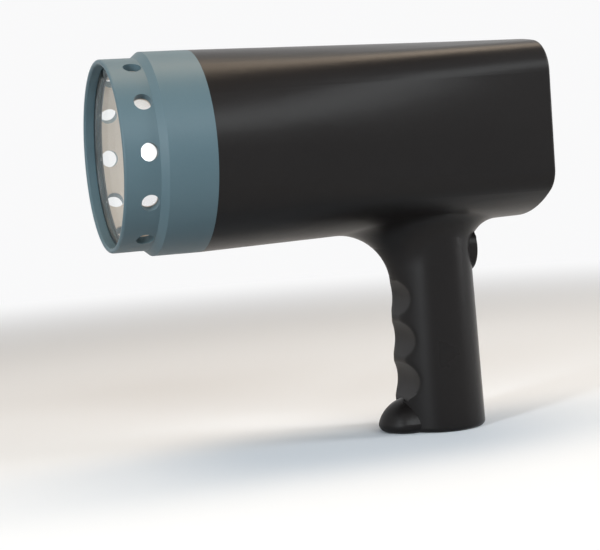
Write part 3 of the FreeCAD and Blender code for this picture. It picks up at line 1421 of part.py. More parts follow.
# The mains inlet in the base of the handle is trapped between the halves by its flange.
inlet_body = centred("inlet_body", -d.inlet_long / 2, as_size(0), d.inlet_raise + d.inlet_tall / 2,
                     d.inlet_long, d.inlet_wide, d.inlet_tall)
inlet_edge = centred("inlet_edge", -d.inlet_long / 2 - d.inlet_flange, as_size(0),
                     d.base_wall + d.slip + d.inlet_flange_thickness / 2,
                     d.inlet_long + d.inlet_flange * 2, d.inlet_wide + d.inlet_flange * 2,
                     d.inlet_flange_thickness)
socket = [centred("socket_waist", -d.socket_spread, as_size(0), d.inlet_raise + d.socket_depth / 2 - d.slip,
                  d.socket_spread * 2, d.socket_radius * 2, d.socket_depth + d.slip * 2)]
contacts = []
for side in (-1, 1):
    pin_x = side * d.socket_spread
    socket.append(rod("socket_end", d.socket_radius, d.socket_depth + d.slip * 2,
                      pin_x, 0, d.inlet_raise - d.slip * 2, "z"))
    socket.append(rod("contact_hole", d.contact_radius, d.inlet_tall, pin_x, 0, d.inlet_raise + d.slip, "z"))
    contacts.append(rod("contact", d.contact_radius, d.inlet_tall - d.contact_recess + d.contact_tail,
                        pin_x, 0, d.inlet_raise + d.contact_recess, "z"))
node(less("inlet_open", joined("inlet_solid", [inlet_body, inlet_edge]), socket), "mains_inlet")
node(group("contact_pair", contacts), "inlet_pins")

# The power board lies on four posts and carries the flash capacitors and the trigger circuit.
power_low = level(d.power_level)
power_top = power_low + d.board_thickness
power_x = behind(power_start)
power_plate = block("power_plate", power_x, -d.power_half, power_low,
                    power_long, d.power_half * 2, d.board_thickness)
power_holes = []
board_screws = []
for index, (x, y, height) in enumerate(post_places[:4]):
    power_holes.append(rod("power_hole_%d" % index, d.screw_radius + d.slip, d.board_thickness * 3,
                           x, y, power_low - d.board_thickness, "z"))
    shank = rod("board_shank_%d" % index, d.screw_radius, d.board_thickness + d.post_bite - d.slip,
                x, y, power_top - d.board_thickness - d.post_bite + d.slip, "z")
    head = rod("board_head_%d" % index, d.head_radius, d.head_height, x, y, power_top, "z")
    board_screws.append(joined("board_screw_%d" % index, [shank, head]))
node(less("power_drilled", power_plate, power_holes), "power_board")
node(group("board_screw_set", board_screws), "board_screws")
capacitors = []
for side in (-1, 1):
    capacitors.append(rod("capacitor", d.cap_radius, power_long * d.cap_share, power_x + d.cap_start,
                          side * d.cap_across, power_top + d.cap_radius + d.part_gap))
node(group("capacitor_pair", capacitors), "discharge_capacitors")
node(rod("trigger_coil", d.coil_radius, d.coil_height, power_x + power_long * d.coil_share, d.coil_across,
         power_top + d.part_gap, "z"), "trigger_transformer")

sink_x = power_x + power_long * d.sink_share
sink_long = power_long * d.sink_length_share
sink_z = power_top + d.part_gap
fins = [block("sink_back", sink_x, d.sink_across, sink_z, sink_long, d.sink_wall, d.sink_tall)]
fin_count = int(d.sink_fins.value)
for index in range(fin_count):
    fin_x = sink_x + (sink_long - d.sink_wall) * index / (fin_count - 1)
    fins.append(block("sink_fin_%d" % index, fin_x, d.sink_across, sink_z,
                      d.sink_wall, d.sink_wide, d.sink_tall))
node(joined("sink_whole", fins), "heat_sink")
node(block("device", sink_x + (sink_long - d.device_long) / 2, d.sink_across - d.device_thick,
           sink_z, d.device_long, d.device_thick, d.device_tall), "power_transistor")

# The mains transformer stands over the handle, under a steel strap that is screwed to two posts.
core_x = behind(core_place) - d.core_stack / 2
core_low = level(d.foot_level) + d.strap_thickness
core_middle = core_low + d.core_tall / 2
core = centred("core_block", core_x, as_size(0), core_middle, d.core_stack, d.core_wide, d.core_tall)
window_wide = d.core_wide / 2 - d.core_leg * 2
window_tall = d.core_tall - d.core_leg * 2
windows = []
for side in (-1, 1):
    windows.append(centred("core_window", core_x - d.slip, side * (d.core_leg + window_wide / 2),
                           core_middle, d.core_stack * 2, window_wide, window_tall))
node(less("core_open", core, windows), "transformer_core")
winding_half = d.core_leg + window_wide - d.coil_play
winding = centred("winding_block", core_x - d.coil_overhang, as_size(0), core_middle,
                  d.core_stack + d.coil_overhang * 2, winding_half * 2, window_tall - d.coil_play * 2)
leg_space = centred("leg_space", core_x - d.coil_play, as_size(0), core_middle,
                    d.core_stack + d.coil_play * 2, (d.core_leg + d.coil_play) * 2, d.core_tall)
node(less("winding_open", winding, [leg_space]), "transformer_winding")

strap_x = behind(core_place) - d.strap_wide / 2
strap_half = d.core_wide / 2 + d.slip + d.strap_thickness
strap_tall = d.core_tall + d.slip + d.strap_thickness * 2
hoop = block("strap_hoop", strap_x, -strap_half, level(d.foot_level),
             d.strap_wide, strap_half * 2, strap_tall)
hoop_space = block("strap_space", strap_x - d.slip, -strap_half + d.strap_thickness, core_low,
                   d.strap_wide * 2, strap_half * 2 - d.strap_thickness * 2, d.core_tall + d.slip)
feet = block("strap_feet", strap_x, -d.strap_foot, level(d.foot_level),
             d.strap_wide, d.strap_foot * 2, d.strap_thickness)
foot_holes = []
strap_screws = []
for index, (x, y, height) in enumerate(post_places[4:]):
    foot_holes.append(rod("foot_hole_%d" % index, d.screw_radius + d.slip, d.strap_thickness * 3,
                          x, y, level(d.foot_level) - d.strap_thickness, "z"))
    foot_top = level(d.foot_level) + d.strap_thickness
    shank = rod("strap_shank_%d" % index, d.screw_radius, d.strap_thickness + d.post_bite - d.slip,
                x, y, foot_top - d.strap_thickness - d.post_bite + d.slip, "z")
    head = rod("strap_head_%d" % index, d.head_radius, d.head_height, x, y, foot_top, "z")
    strap_screws.append(joined("strap_screw_%d" % index, [shank, head]))
strap_open = less("strap_open", hoop, [hoop_space])
node(less("strap_drilled", joined("strap_solid", [strap_open, feet]), foot_holes), "transformer_strap")
node(group("strap_screw_set", strap_screws), "strap_screws")

doc.recompute()

for thing in doc.Objects:
    if "Invalid" in thing.State or "Error" in thing.State:
        raise RuntimeError("%s did not build: %s" % (thing.Label, thing.State))
for thing in NODES:
    if thing.Shape.isNull() or not thing.Shape.isValid():
        raise RuntimeError("%s has no valid shape" % thing.Label)

os.makedirs("parts", exist_ok=True)
for thing in NODES:
    thing.Shape.exportStep("parts/%s.step" % thing.Label)
print("%d nodes written" % len(NODES))
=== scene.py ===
import math

import bmesh
import bpy
from mathutils import Matrix, Vector
from mathutils.bvhtree import BVHTree


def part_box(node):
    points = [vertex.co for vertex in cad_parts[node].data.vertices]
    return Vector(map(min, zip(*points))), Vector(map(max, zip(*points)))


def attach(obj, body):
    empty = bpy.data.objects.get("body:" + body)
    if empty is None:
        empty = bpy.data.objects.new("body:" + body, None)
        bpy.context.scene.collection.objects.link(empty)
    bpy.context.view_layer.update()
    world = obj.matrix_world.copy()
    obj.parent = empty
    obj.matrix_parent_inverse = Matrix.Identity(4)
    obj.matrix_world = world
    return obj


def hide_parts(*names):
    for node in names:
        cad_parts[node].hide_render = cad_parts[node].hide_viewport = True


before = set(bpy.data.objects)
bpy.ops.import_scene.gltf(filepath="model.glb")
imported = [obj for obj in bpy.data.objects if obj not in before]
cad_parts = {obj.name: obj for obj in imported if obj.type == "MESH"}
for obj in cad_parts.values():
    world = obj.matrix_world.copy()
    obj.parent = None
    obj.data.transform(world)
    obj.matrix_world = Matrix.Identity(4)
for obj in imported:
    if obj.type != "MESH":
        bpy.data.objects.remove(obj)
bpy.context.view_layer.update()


# The camera stands on the left of the instrument, a little ahead of the lamp and just below the
# lamp's axis. It looks at the barrel's side through a long lens, and is rolled by a few degrees.
eye = Vector((-0.3307, -0.7518, 0.1413))
sight = Vector((0.3204, 0.9451, -0.0647))
camera_roll = math.radians(-4.04)
lens_mm = 90.0
film_mm = 36.0
farthest_view = 20.0


def add_object(name, data):
    """Put a camera, a light, a mesh or a curve into the scene."""
    thing = bpy.data.objects.new(name, data)
    bpy.context.scene.collection.objects.link(thing)
    return thing


camera_data = bpy.data.cameras.new("camera")
camera_data.lens = lens_mm
camera_data.sensor_width = film_mm
camera_data.clip_end = farthest_view
camera = add_object("camera", camera_data)
aim = sight.to_track_quat("-Z", "Y").to_matrix().to_4x4()
camera.matrix_world = Matrix.Translation(eye) @ aim @ Matrix.Rotation(camera_roll, 4, "Z")
bpy.context.scene.camera = camera
bpy.context.scene.view_settings.view_transform = "Standard"


# Four soft boxes light the instrument: a warm one overhead, a wide one on the camera's side, a
# narrow one ahead of the lamp and one behind the panel. A dim even light fills the shadows.
fill_colour = (0.9, 0.95, 1.0, 1.0)
fill_strength = 0.22


def soft_box(name, place, target, wide, tall, watts, colour=(1.0, 1.0, 1.0)):
    """A rectangular soft box that faces its target."""
    light = bpy.data.lights.new(name, "AREA")
    light.shape = "RECTANGLE"
    light.size = wide
    light.size_y = tall
    light.energy = watts
    light.color = colour
    lamp = add_object(name, light)
    lamp.location = place
    toward = Vector(target) - Vector(place)
    lamp.rotation_euler = toward.to_track_quat("-Z", "Y").to_euler()


soft_box("overhead_box", place=(-0.05, 0.2, 1.2), target=(0.0, 0.0, 0.15),
         wide=1.5, tall=0.4, watts=10.0, colour=(1.0, 0.8, 0.6))
soft_box("side_box", place=(0.1, -1.25, 0.87), target=(0.0, 0.0, 0.15),
         wide=1.5, tall=0.5, watts=11.5, colour=(0.93, 0.98, 1.0))
soft_box("front_box", place=(-1.05, -0.66, 0.42), target=(0.0, 0.0, 0.12),
         wide=0.14, tall=0.75, watts=10.0, colour=(0.9, 0.96, 1.0))
soft_box("rear_box", place=(1.08, -0.4, 0.55), target=(0.0, 0.0, 0.14), wide=0.3, tall=0.8, watts=8.5)

world = bpy.data.worlds.new("studio")
bpy.context.scene.world = world
world.use_nodes = True
fill = world.node_tree.nodes["Background"]
fill.inputs["Color"].default_value = fill_colour
fill.inputs["Strength"].default_value = fill_strength


# The table is one sheet of pale paper, flat under the instrument and curved up all round into a
# wall. Close to the instrument it takes the shadow; farther off it is an even white.
table_colour = (0.81, 0.845, 0.885, 1.0)
table_bounce = (0.34, 0.355, 0.375, 1.0)
wall_white = (0.95, 0.95, 0.955, 1.0)
shadow_reach = 0.55
white_reach = 1.3
fibre_spacing = 0.002
flat_radii = (0.3, 0.7, 1.5)
sweep_radius = 0.9
sweep_steps = 12
wall_height = 5.0
round_steps = 64


class Signal:
    """One output of a shader node; each step of arithmetic on it adds a Math node."""

    def __init__(self, finish, socket):
        self.finish = finish
        self.socket = socket

    def reckon(self, operation, first, second):
        """One Math node."""
        return self.finish.node("ShaderNodeMath", {"operation": operation}, {0: first, 1: second})

    def __add__(self, other):
        return self.reckon("ADD", self, other)

    def __radd__(self, other):
        return self.reckon("ADD", other, self)

    def __sub__(self, other):
        return self.reckon("SUBTRACT", self, other)

    def __rsub__(self, other):
        return self.reckon("SUBTRACT", other, self)

    def __mul__(self, other):
        return self.reckon("MULTIPLY", self, other)

    def __rmul__(self, other):
        return self.reckon("MULTIPLY", other, self)

    def __gt__(self, other):
        return self.reckon("GREATER_THAN", self, other)

    def __lt__(self, other):
        return self.reckon("LESS_THAN", self, other)


class Finish:
    """One surface finish: a material whose shader is fed by named nodes."""

    def __init__(self, name):
        self.material = bpy.data.materials.new(name)
        self.material.use_nodes = True
        self.tree = self.material.node_tree
        self.shader = self.tree.nodes["Principled BSDF"]

    def node(self, kind, settings, values, out=0):
        """Any node: its settings are set first, then the values or links of its sockets."""
        step = self.tree.nodes.new(kind)
        for name, value in settings.items():
            setattr(step, name, value)
        for key, value in values.items():
            self.feed(step.inputs[key], value)
        return Signal(self, step.outputs[out])

    def feed(self, socket, value):
        """Link a signal to a socket, or set the socket to a plain value."""
        if isinstance(value, Signal):
            self.tree.links.new(value.socket, socket)
        else:
            socket.default_value = value

    def shade(self, **values):
        """Feed sockets of the shader, such as base_color=... or roughness=..."""
        for name, value in values.items():
            socket = name.replace("_", " ").title().replace("Ior", "IOR")
            self.feed(self.shader.inputs[socket], value)

    def place(self):
        """The point on the piece, in metres."""
        return self.node("ShaderNodeTexCoord", {}, {}, "Object")

    def vector(self, operation, first, second=(0.0, 0.0, 0.0), out="Vector"):
        """One step of arithmetic on points or directions."""
        return self.node("ShaderNodeVectorMath", {"operation": operation}, {0: first, 1: second}, out)

    def clouds(self, spacing, detail=2.0, roughness=0.5, at=None):
        """Soft noise from 0 to 1 whose blots are about one spacing apart."""
        return self.node("ShaderNodeTexNoise", {}, {
            "Vector": at or self.place(), "Scale": 1.0 / spacing, "Detail": detail, "Roughness": roughness})

    def soft_step(self, value, start, end):
        """A smooth rise from 0 where the value is at start to 1 where it is at end."""
        return self.node("ShaderNodeMapRange", {"interpolation_type": "SMOOTHSTEP"},
                         {"Value": value, "From Min": start, "From Max": end})

    def between(self, share, first, second, kind="RGBA"):
        """A colour, or with kind VECTOR a direction, from first to second by a share from 0 to 1."""
        low, high, out = {"RGBA": (6, 7, 2), "VECTOR": (4, 5, 1)}[kind]
        return self.node("ShaderNodeMix", {"data_type": kind},
                         {"Factor": share, low: first, high: second}, out)

    def raised(self, height, depth, under=None):
        """A normal from a height of 0 to 1 that stands for a depth in metres."""
        values = {"Height": height, "Distance": depth, "Strength": 1.0}
        if under:
            values["Normal"] = under
        return self.node("ShaderNodeBump", {}, values)


paper = Finish("studio_paper")


def rays(kind):
    """1 for one kind of ray, such as Camera, and 0 for every other kind."""
    return paper.node("ShaderNodeLightPath", {}, {}, "Is " + kind + " Ray")


seen = (rays("Camera") + rays("Glossy") + rays("Transmission")) > 0.5
distance = paper.vector("LENGTH", paper.place(), out="Value")
far = paper.soft_step(distance, shadow_reach, white_reach)
paper.shade(base_color=paper.between(seen, table_bounce, table_colour),
            roughness=paper.clouds(fibre_spacing, detail=3.0) * 0.1 + 0.75, specular_ior_level=0.2)
lit_paper = Signal(paper, paper.shader.outputs[0])
white = paper.node("ShaderNodeEmission", {}, {"Color": wall_white, "Strength": 1.0})
blend = paper.node("ShaderNodeMixShader", {}, {0: seen * far, 1: lit_paper, 2: white})
paper.feed(paper.tree.nodes["Material Output"].inputs["Surface"], blend)

profile = [(radius, 0.0) for radius in flat_radii]
for step in range(1, sweep_steps + 1):
    turn = math.radians(90 * step / sweep_steps)
    profile.append((flat_radii[-1] + sweep_radius * math.sin(turn), sweep_radius * (1 - math.cos(turn))))
profile.append((flat_radii[-1] + sweep_radius, wall_height))
sweep = bmesh.new()
last = [sweep.verts.new((0, 0, 0))] * round_steps
for radius, level in profile:
    ring = []
    for step in range(round_steps):
        turn = 2 * math.pi * step / round_steps
        ring.append(sweep.verts.new((radius * math.cos(turn), radius * math.sin(turn), level)))
    for step in range(round_steps):
        after = (step + 1) % round_steps
        corners = (last[step], last[after], ring[after], ring[step])
        sweep.faces.new(list(dict.fromkeys(corners)))
    last = ring
table_mesh = bpy.data.meshes.new("studio_table")
sweep.to_mesh(table_mesh)
table_mesh.shade_smooth()
table_mesh.materials.append(paper.material)
add_object("studio_table", table_mesh)


# The lamp hood is one grey-green moulding with a spark-eroded surface. It carries the window,
# the reflector and the lamp, and its spigot is caught by a rib when the housing is screwed up.
hood_colour = (0.077, 0.127, 0.15, 1.0)
hood_pale = (0.092, 0.147, 0.17, 1.0)
drift_spacing = 0.05
speck_spacing = 0.0012
rub_spacing = 0.012
rub_level = 0.66
plastic_sheen = 0.3


def coat(material, *nodes):
    """Put a finish on CAD nodes whose shape is right."""
    for name in nodes:
        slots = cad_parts[name].data.materials
        slots.clear()
        slots.append(material)


def moulding(name, colour, pale, roughness, grain, depth):
    """Moulded plastic: nearly even in colour, a fine grain, and a gloss that drifts a little."""
    finish = Finish(name)
    drift = finish.clouds(drift_spacing, detail=3.0)
    speck = finish.clouds(speck_spacing)
    rubbed = finish.clouds(rub_spacing, detail=6.0, roughness=0.7) > rub_level
    finish.shade(
        base_color=finish.between(drift * 0.7 + speck * 0.3, colour, pale),
        roughness=(drift - 0.5) * 0.08 + rubbed * 0.05 + roughness, specular_ior_level=plastic_sheen,
        normal=finish.raised(finish.clouds(grain, roughness=0.6), depth))
    return finish.material


coat(moulding("hood_moulding", hood_colour, hood_pale, roughness=0.46, grain=0.0005, depth=0.00003),
     "lamp_hood")


# The window is a disc of clear float glass. A soft black gasket lies behind it, and a blackened
# spring ring with two eyes snaps into the hood's groove in front of it.
glass_tint = (0.9, 0.95, 0.94, 1.0)
rubber_colour = (0.012, 0.012, 0.013, 1.0)
rubber_pale = (0.03, 0.03, 0.03, 1.0)
spring_colour = (0.1, 0.115, 0.12, 1.0)
spring_pale = (0.2, 0.22, 0.225, 1.0)
streak_depth = 0.02


def edge_on(finish, blend):
    """0 where a surface faces the eye, rising to 1 where it is seen along its edge."""
    return finish.node("ShaderNodeLayerWeight", {}, {"Blend": blend}, "Facing")


def metal(name, colour, pale, roughness, grain, along=(1.0, 1.0, 1.0)):
    """Metal whose grain is drawn out along the axes that are scaled down."""
    finish = Finish(name)
    drawn = finish.vector("MULTIPLY", finish.place(), along)
    streak = finish.clouds(grain, detail=4.0, roughness=0.6, at=drawn)
    finish.shade(base_color=finish.between(streak, colour, pale), metallic=1.0,
                 roughness=streak * 0.16 + roughness, normal=finish.raised(streak, grain * streak_depth))
    return finish.material


float_glass = Finish("window_glass")
facing = edge_on(float_glass, blend=0.25)
float_glass.shade(base_color=glass_tint, roughness=float_glass.clouds(0.02, detail=4.0) * 0.03 + 0.02,
                  alpha=facing * facing * 0.35 + 0.04, ior=1.5)
coat(float_glass.material, "window_glass")

rubber = Finish("gasket_rubber")
bloom = rubber.clouds(0.004, detail=4.0)
rubber.shade(base_color=rubber.between(bloom, rubber_colour, rubber_pale), roughness=bloom * 0.15 + 0.7,
             normal=rubber.raised(rubber.clouds(0.0004), 0.00002))
coat(rubber.material, "window_gasket")

coat(metal("blued_spring_steel", spring_colour, spring_pale, roughness=0.25, grain=0.0015),
     "window_retaining_ring")


# Behind the vents the hood is lined with a thin beige moulded sleeve. It keeps stray light in, and
# its end holds the reflector's rim.
sleeve_colour = (0.50, 0.40, 0.31, 1.0)
sleeve_pale = (0.58, 0.48, 0.38, 1.0)
coat(moulding("sleeve_beige", sleeve_colour, sleeve_pale, roughness=0.38, grain=0.0008, depth=0.00002),
     "vent_sleeve")


# The reflector is spun from bright aluminium, so its sheen is broken by fine rings about the
# lamp's axis. Its rim is clamped by the sleeve, and its neck sits in the carrier's hub.
aluminium_colour = (0.82, 0.82, 0.83, 1.0)
aluminium_pale = (0.93, 0.93, 0.93, 1.0)
tool_marks_per_metre = 1400.0
tool_mark_depth = 0.000006
reflector_low, reflector_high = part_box("reflector")
lamp_axis_z = (reflector_low.z + reflector_high.z) / 2
spun = Finish("spun_aluminium")
from_axis = spun.vector("SUBTRACT", spun.place(), (0.0, 0.0, lamp_axis_z))
from_axis = spun.vector("MULTIPLY", from_axis, (0.0, 1.0, 1.0))
tool_marks = spun.node("ShaderNodeTexNoise", {"noise_dimensions": "1D"},
                       {"W": spun.vector("LENGTH", from_axis, out="Value"),
                        "Scale": tool_marks_per_metre, "Detail": 2.0})
haze = spun.clouds(0.015, detail=3.0)
spun.shade(base_color=spun.between(haze, aluminium_colour, aluminium_pale), metallic=1.0,
           roughness=tool_marks * 0.08 + haze * 0.06 + 0.1,
           normal=spun.raised(tool_marks, tool_mark_depth))
coat(spun.material, "reflector")


# The carrier is a black moulded plate that is screwed to three lugs inside the hood. Its hub holds
# the reflector's neck and the lamp's base.
carrier_colour = (0.012, 0.012, 0.012, 1.0)
carrier_pale = (0.022, 0.022, 0.022, 1.0)
coat(moulding("carrier_black", carrier_colour, carrier_pale, roughness=0.5, grain=0.0008, depth=0.00004),
     "reflector_carrier")


# The flash tube is a U of quartz glass filled with xenon. Nickel electrodes are sealed into its
# legs, a wire loops round both legs to start the flash, and a ceramic disc holds it all.
quartz_tint = (0.93, 0.94, 0.96, 1.0)
nickel_colour = (0.55, 0.53, 0.48, 1.0)
nickel_pale = (0.68, 0.66, 0.61, 1.0)
ceramic_colour = (0.78, 0.75, 0.68, 1.0)
ceramic_pale = (0.88, 0.86, 0.8, 1.0)
quartz = Finish("quartz_tube")
quartz.shade(base_color=quartz_tint, roughness=quartz.clouds(0.006, detail=3.0) * 0.08 + 0.03,
             alpha=edge_on(quartz, blend=0.4) * 0.6 + 0.22, ior=1.46)
coat(quartz.material, "flash_tube")
nickel = metal("nickel_plate", nickel_colour, nickel_pale, roughness=0.2, grain=0.002)
coat(nickel, "tube_electrodes", "trigger_band")

ceramic = Finish("lamp_ceramic")
pores = ceramic.clouds(0.0006, detail=3.0)
fired = ceramic.clouds(0.008, detail=3.0)
ceramic.shade(base_color=ceramic.between(fired, ceramic_colour, ceramic_pale),
              roughness=fired * 0.15 + 0.35, normal=ceramic.raised(pores, depth=0.00002))
coat(ceramic.material, "lamp_base")


# The housing is two black mouldings with a satin, slightly grained surface, joined in the middle
# plane from nose to tail. The grip is worn a little smoother, but dull in the finger grooves,
# whose edges are softly rounded.
barrel_colour = (0.0072, 0.0062, 0.0061, 1.0)
barrel_pale = (0.0115, 0.0101, 0.0098, 1.0)
barrel_sheen = 0.16
barrel_radius = 0.052
grip_top = 0.1
toe_top = 0.0215
foot_top = 0.02
groove_round = 0.005
groove_samples = 8
groove_back = -0.008
groove_fade = 0.003
turned_aside = -0.3
turned_forward = -0.8
joint_margin = 0.004
tone_spacing = 0.07
fleck_spacing = 0.0015
hand_spacing = 0.02
grain_spacing = 0.0006
grain_depth = 0.00003


def coordinate(finish, axis, vector=None):
    """X, Y or Z of the point on the piece, or of another vector."""
    return finish.node("ShaderNodeSeparateXYZ", {}, {"Vector": vector or finish.place()}, axis)


housing = Finish("housing_black")
tone = housing.clouds(tone_spacing, detail=3.0)
fleck = housing.clouds(fleck_spacing)
height = coordinate(housing, "Z")
on_grip = height < grip_top
handled = housing.soft_step(height, lamp_axis_z - barrel_radius, foot_top)
handled = handled * housing.clouds(hand_spacing, detail=4.0)
plain_normal = housing.node("ShaderNodeNewGeometry", {}, {}, "Normal")
fingered = housing.soft_step(coordinate(housing, "X", plain_normal), turned_aside, turned_forward) * on_grip
sideways = housing.node("ShaderNodeMath", {"operation": "ABSOLUTE"}, {0: coordinate(housing, "Y")})
in_grooves = housing.soft_step(coordinate(housing, "X"), groove_back + groove_fade, groove_back)
in_grooves = in_grooves * (height > toe_top) * on_grip * (sideways > joint_margin)
rounded = housing.node("ShaderNodeBevel", {"samples": groove_samples}, {"Radius": groove_round})
moulded = housing.between(in_grooves, plain_normal, rounded, kind="VECTOR")
housing.shade(
    base_color=housing.between(tone * 0.6 + fleck * 0.4, barrel_colour, barrel_pale),
    roughness=(tone - 0.5) * 0.1 + 0.31 - handled * 0.06 + fingered * 0.22,
    specular_ior_level=barrel_sheen,
    normal=housing.raised(housing.clouds(grain_spacing, roughness=0.6), grain_depth, moulded))
coat(housing.material, "left_housing", "right_housing")


# Along the joint a thin tongue of the left half reaches toward the right half, so that no light
# comes through. It is of the same black plastic, and lies just inside the outer surface.
tongue_inset = 0.0007
tongue_reach = 0.8
same_plane = 0.000002


def add_piece(name, shape, material, body="instrument", bend=30.0):
    """Turn a finished bmesh into a piece that rides on a body."""
    mesh = bpy.data.meshes.new(name)
    bmesh.ops.recalc_face_normals(shape, faces=shape.faces)
    shape.to_mesh(mesh)
    shape.free()
    mesh.shade_smooth()
    mesh.set_sharp_from_angle(angle=math.radians(bend))
    mesh.materials.append(material)
    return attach(add_object(name, mesh), body)


half_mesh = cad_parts["left_housing"].data
parting_y = max(vertex.co.y for vertex in half_mesh.vertices)
tongue = bmesh.new()
tongue.from_mesh(half_mesh)
outside = [face for face in tongue.faces
           if any(abs(vertex.co.y - parting_y) > same_plane for vertex in face.verts)]
bmesh.ops.delete(tongue, geom=outside, context="FACES")
border = bmesh.ops.inset_region(tongue, faces=tongue.faces[:], thickness=tongue_inset)
bmesh.ops.delete(tongue, geom=border["faces"], context="FACES")
grown = bmesh.ops.extrude_face_region(tongue, geom=tongue.faces[:])
for part in grown["geom"]:
    if isinstance(part, bmesh.types.BMVert):
        part.co.y = -parting_y * tongue_reach
add_piece("joint_tongue", tongue, housing.material)


# The power board is green glass-fibre with etched tracks. It lies on four posts of the housing,
# is held by four screws, and carries the flash capacitors and the trigger circuit.
mask_green = (0.008, 0.07, 0.022, 1.0)
track_green = (0.02, 0.14, 0.05, 1.0)
track_cell = 0.012
tracks_per_cell = 9.0
track_gap = 0.55

board = Finish("board_green")
cells = board.node("ShaderNodeTexVoronoi", {"distance": "MANHATTAN", "feature": "F1"},
                   {"Vector": board.place(), "Scale": 1.0 / track_cell}, "Distance")
tracks = board.node("ShaderNodeMath", {"operation": "FRACT"}, {0: cells * tracks_per_cell}) > track_gap
board.shade(base_color=board.between(tracks, mask_green, track_green),
            roughness=board.clouds(0.01) * 0.1 + 0.25, normal=board.raised(tracks, depth=0.00003))
coat(board.material, "power_board")


# The two flash capacitors store the charge for the flash. Each is an aluminium can in a shrunk
# dark blue sleeve, and stands on the power board.
can_blue = (0.01, 0.014, 0.05, 1.0)
can_pale = (0.02, 0.026, 0.075, 1.0)
can_sleeve = Finish("capacitor_sleeve")
shrink = can_sleeve.clouds(0.01, detail=3.0)
can_sleeve.shade(base_color=can_sleeve.between(shrink, can_blue, can_pale),
                 roughness=shrink * 0.1 + 0.22, normal=can_sleeve.raised(shrink, depth=0.0001))
coat(can_sleeve.material, "discharge_capacitors")


# The trigger transformer is a small coil that is potted in dark blue resin. It stands on the power
# board and gives the high voltage that starts the flash.
pot_blue = (0.01, 0.03, 0.07, 1.0)
pot_pale = (0.015, 0.04, 0.09, 1.0)
coat(moulding("coil_pot", pot_blue, pot_pale, roughness=0.3, grain=0.001, depth=0.00003),
     "trigger_transformer")


# The heat sink is cut from extruded aluminium, and its grain runs upright. It stands on the power
# board and cools the power transistor, a body of matt black resin.
sink_colour = (0.55, 0.55, 0.56, 1.0)
sink_pale = (0.68, 0.68, 0.69, 1.0)
upright = (1.0, 1.0, 0.1)
resin_colour = (0.012, 0.012, 0.013, 1.0)
resin_pale = (0.025, 0.025, 0.026, 1.0)
coat(metal("sink_aluminium", sink_colour, sink_pale, roughness=0.32, grain=0.002, along=upright),
     "heat_sink")
matt_black = moulding("matt_black", resin_colour, resin_pale, roughness=0.5, grain=0.0005, depth=0.00002)
coat(matt_black, "power_transistor")


# The mains transformer is a stack of varnished steel sheets round a taped winding. It stands over
# the handle, under a zinc-plated strap that is screwed to two posts of the housing.
core_colour = (0.09, 0.08, 0.075, 1.0)
core_rust = (0.16, 0.13, 0.11, 1.0)
sheets_per_metre = 2000.0
tape_colour = (0.42, 0.3, 0.05, 1.0)
tape_pale = (0.55, 0.4, 0.08, 1.0)
zinc_colour = (0.5, 0.5, 0.5, 1.0)
zinc_pale = (0.66, 0.66, 0.64, 1.0)
core = Finish("laminated_core")
rust = core.clouds(0.006, detail=4.0)
sheets = core.node("ShaderNodeMath", {"operation": "FRACT"}, {0: coordinate(core, "X") * sheets_per_metre})
core.shade(base_color=core.between(rust, core_colour, core_rust), metallic=0.6,
           roughness=rust * 0.2 + 0.4, normal=core.raised(sheets, depth=0.00006))
coat(core.material, "transformer_core")
tape = Finish("winding_tape")
wrap = tape.clouds(0.004, detail=3.0)
tape.shade(base_color=tape.between(wrap, tape_colour, tape_pale),
           roughness=wrap * 0.15 + 0.3, normal=tape.raised(wrap, depth=0.0001))
coat(tape.material, "transformer_winding")
zinc = metal("zinc_plate", zinc_colour, zinc_pale, roughness=0.28, grain=0.0015)
coat(zinc, "transformer_strap")


# The control panel is a grey-green moulded plate that the housing holds in a slot. A dark line runs
# close round the display's opening, and a ring of painted shade round each key darkens the gap
# between key and panel. Two arcs with arrowheads over each knob show that it turns.
panel_colour = (0.108, 0.158, 0.14, 1.0)
panel_pale = (0.128, 0.182, 0.162, 1.0)
print_and_shade_colour = (0.006, 0.007, 0.007, 1.0)
print_and_shade_pale = (0.012, 0.013, 0.013, 1.0)
print_height = 0.00006
edge_depth = 0.0009
edge_round = 0.0001
window_line = 0.0011
key_gap_shade_line = 0.0004
arc_radius = 0.0124
arc_start = 8
arc_end = 42
arc_steps = 12
arc_width = 0.0004
arrow_length = 0.0017
arrow_half = 0.4
panel_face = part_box("rear_panel")[1].x


def form_of(node):
    """The surface of a CAD node, for finding points on it."""
    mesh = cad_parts[node].data
    return BVHTree.FromPolygons([vertex.co for vertex in mesh.vertices],
                                [polygon.vertices for polygon in mesh.polygons])


panel_form = form_of("rear_panel")


def dark_frame(shape, node, width):
    """A dark line on the panel, close round the opening that a node shows through."""
    low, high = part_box(node)
    middle = (low + high) / 2
    middle.x = panel_face - edge_depth
    reach_y = (panel_form.ray_cast(middle, Vector((0, 1, 0)))[0] - middle).length
    reach_z = (panel_form.ray_cast(middle, Vector((0, 0, 1)))[0] - middle).length
    loops = []
    for grow in (edge_round, edge_round + width):
        half_y, half_z = reach_y + grow, reach_z + grow
        corners = ((-half_y, -half_z), (half_y, -half_z), (half_y, half_z), (-half_y, half_z))
        loops.append([shape.verts.new((panel_face + print_height, middle.y + y, middle.z + z))
                      for y, z in corners])
    for corner in range(4):
        after = (corner + 1) % 4
        shape.faces.new([loops[0][corner], loops[1][corner], loops[1][after], loops[0][after]])


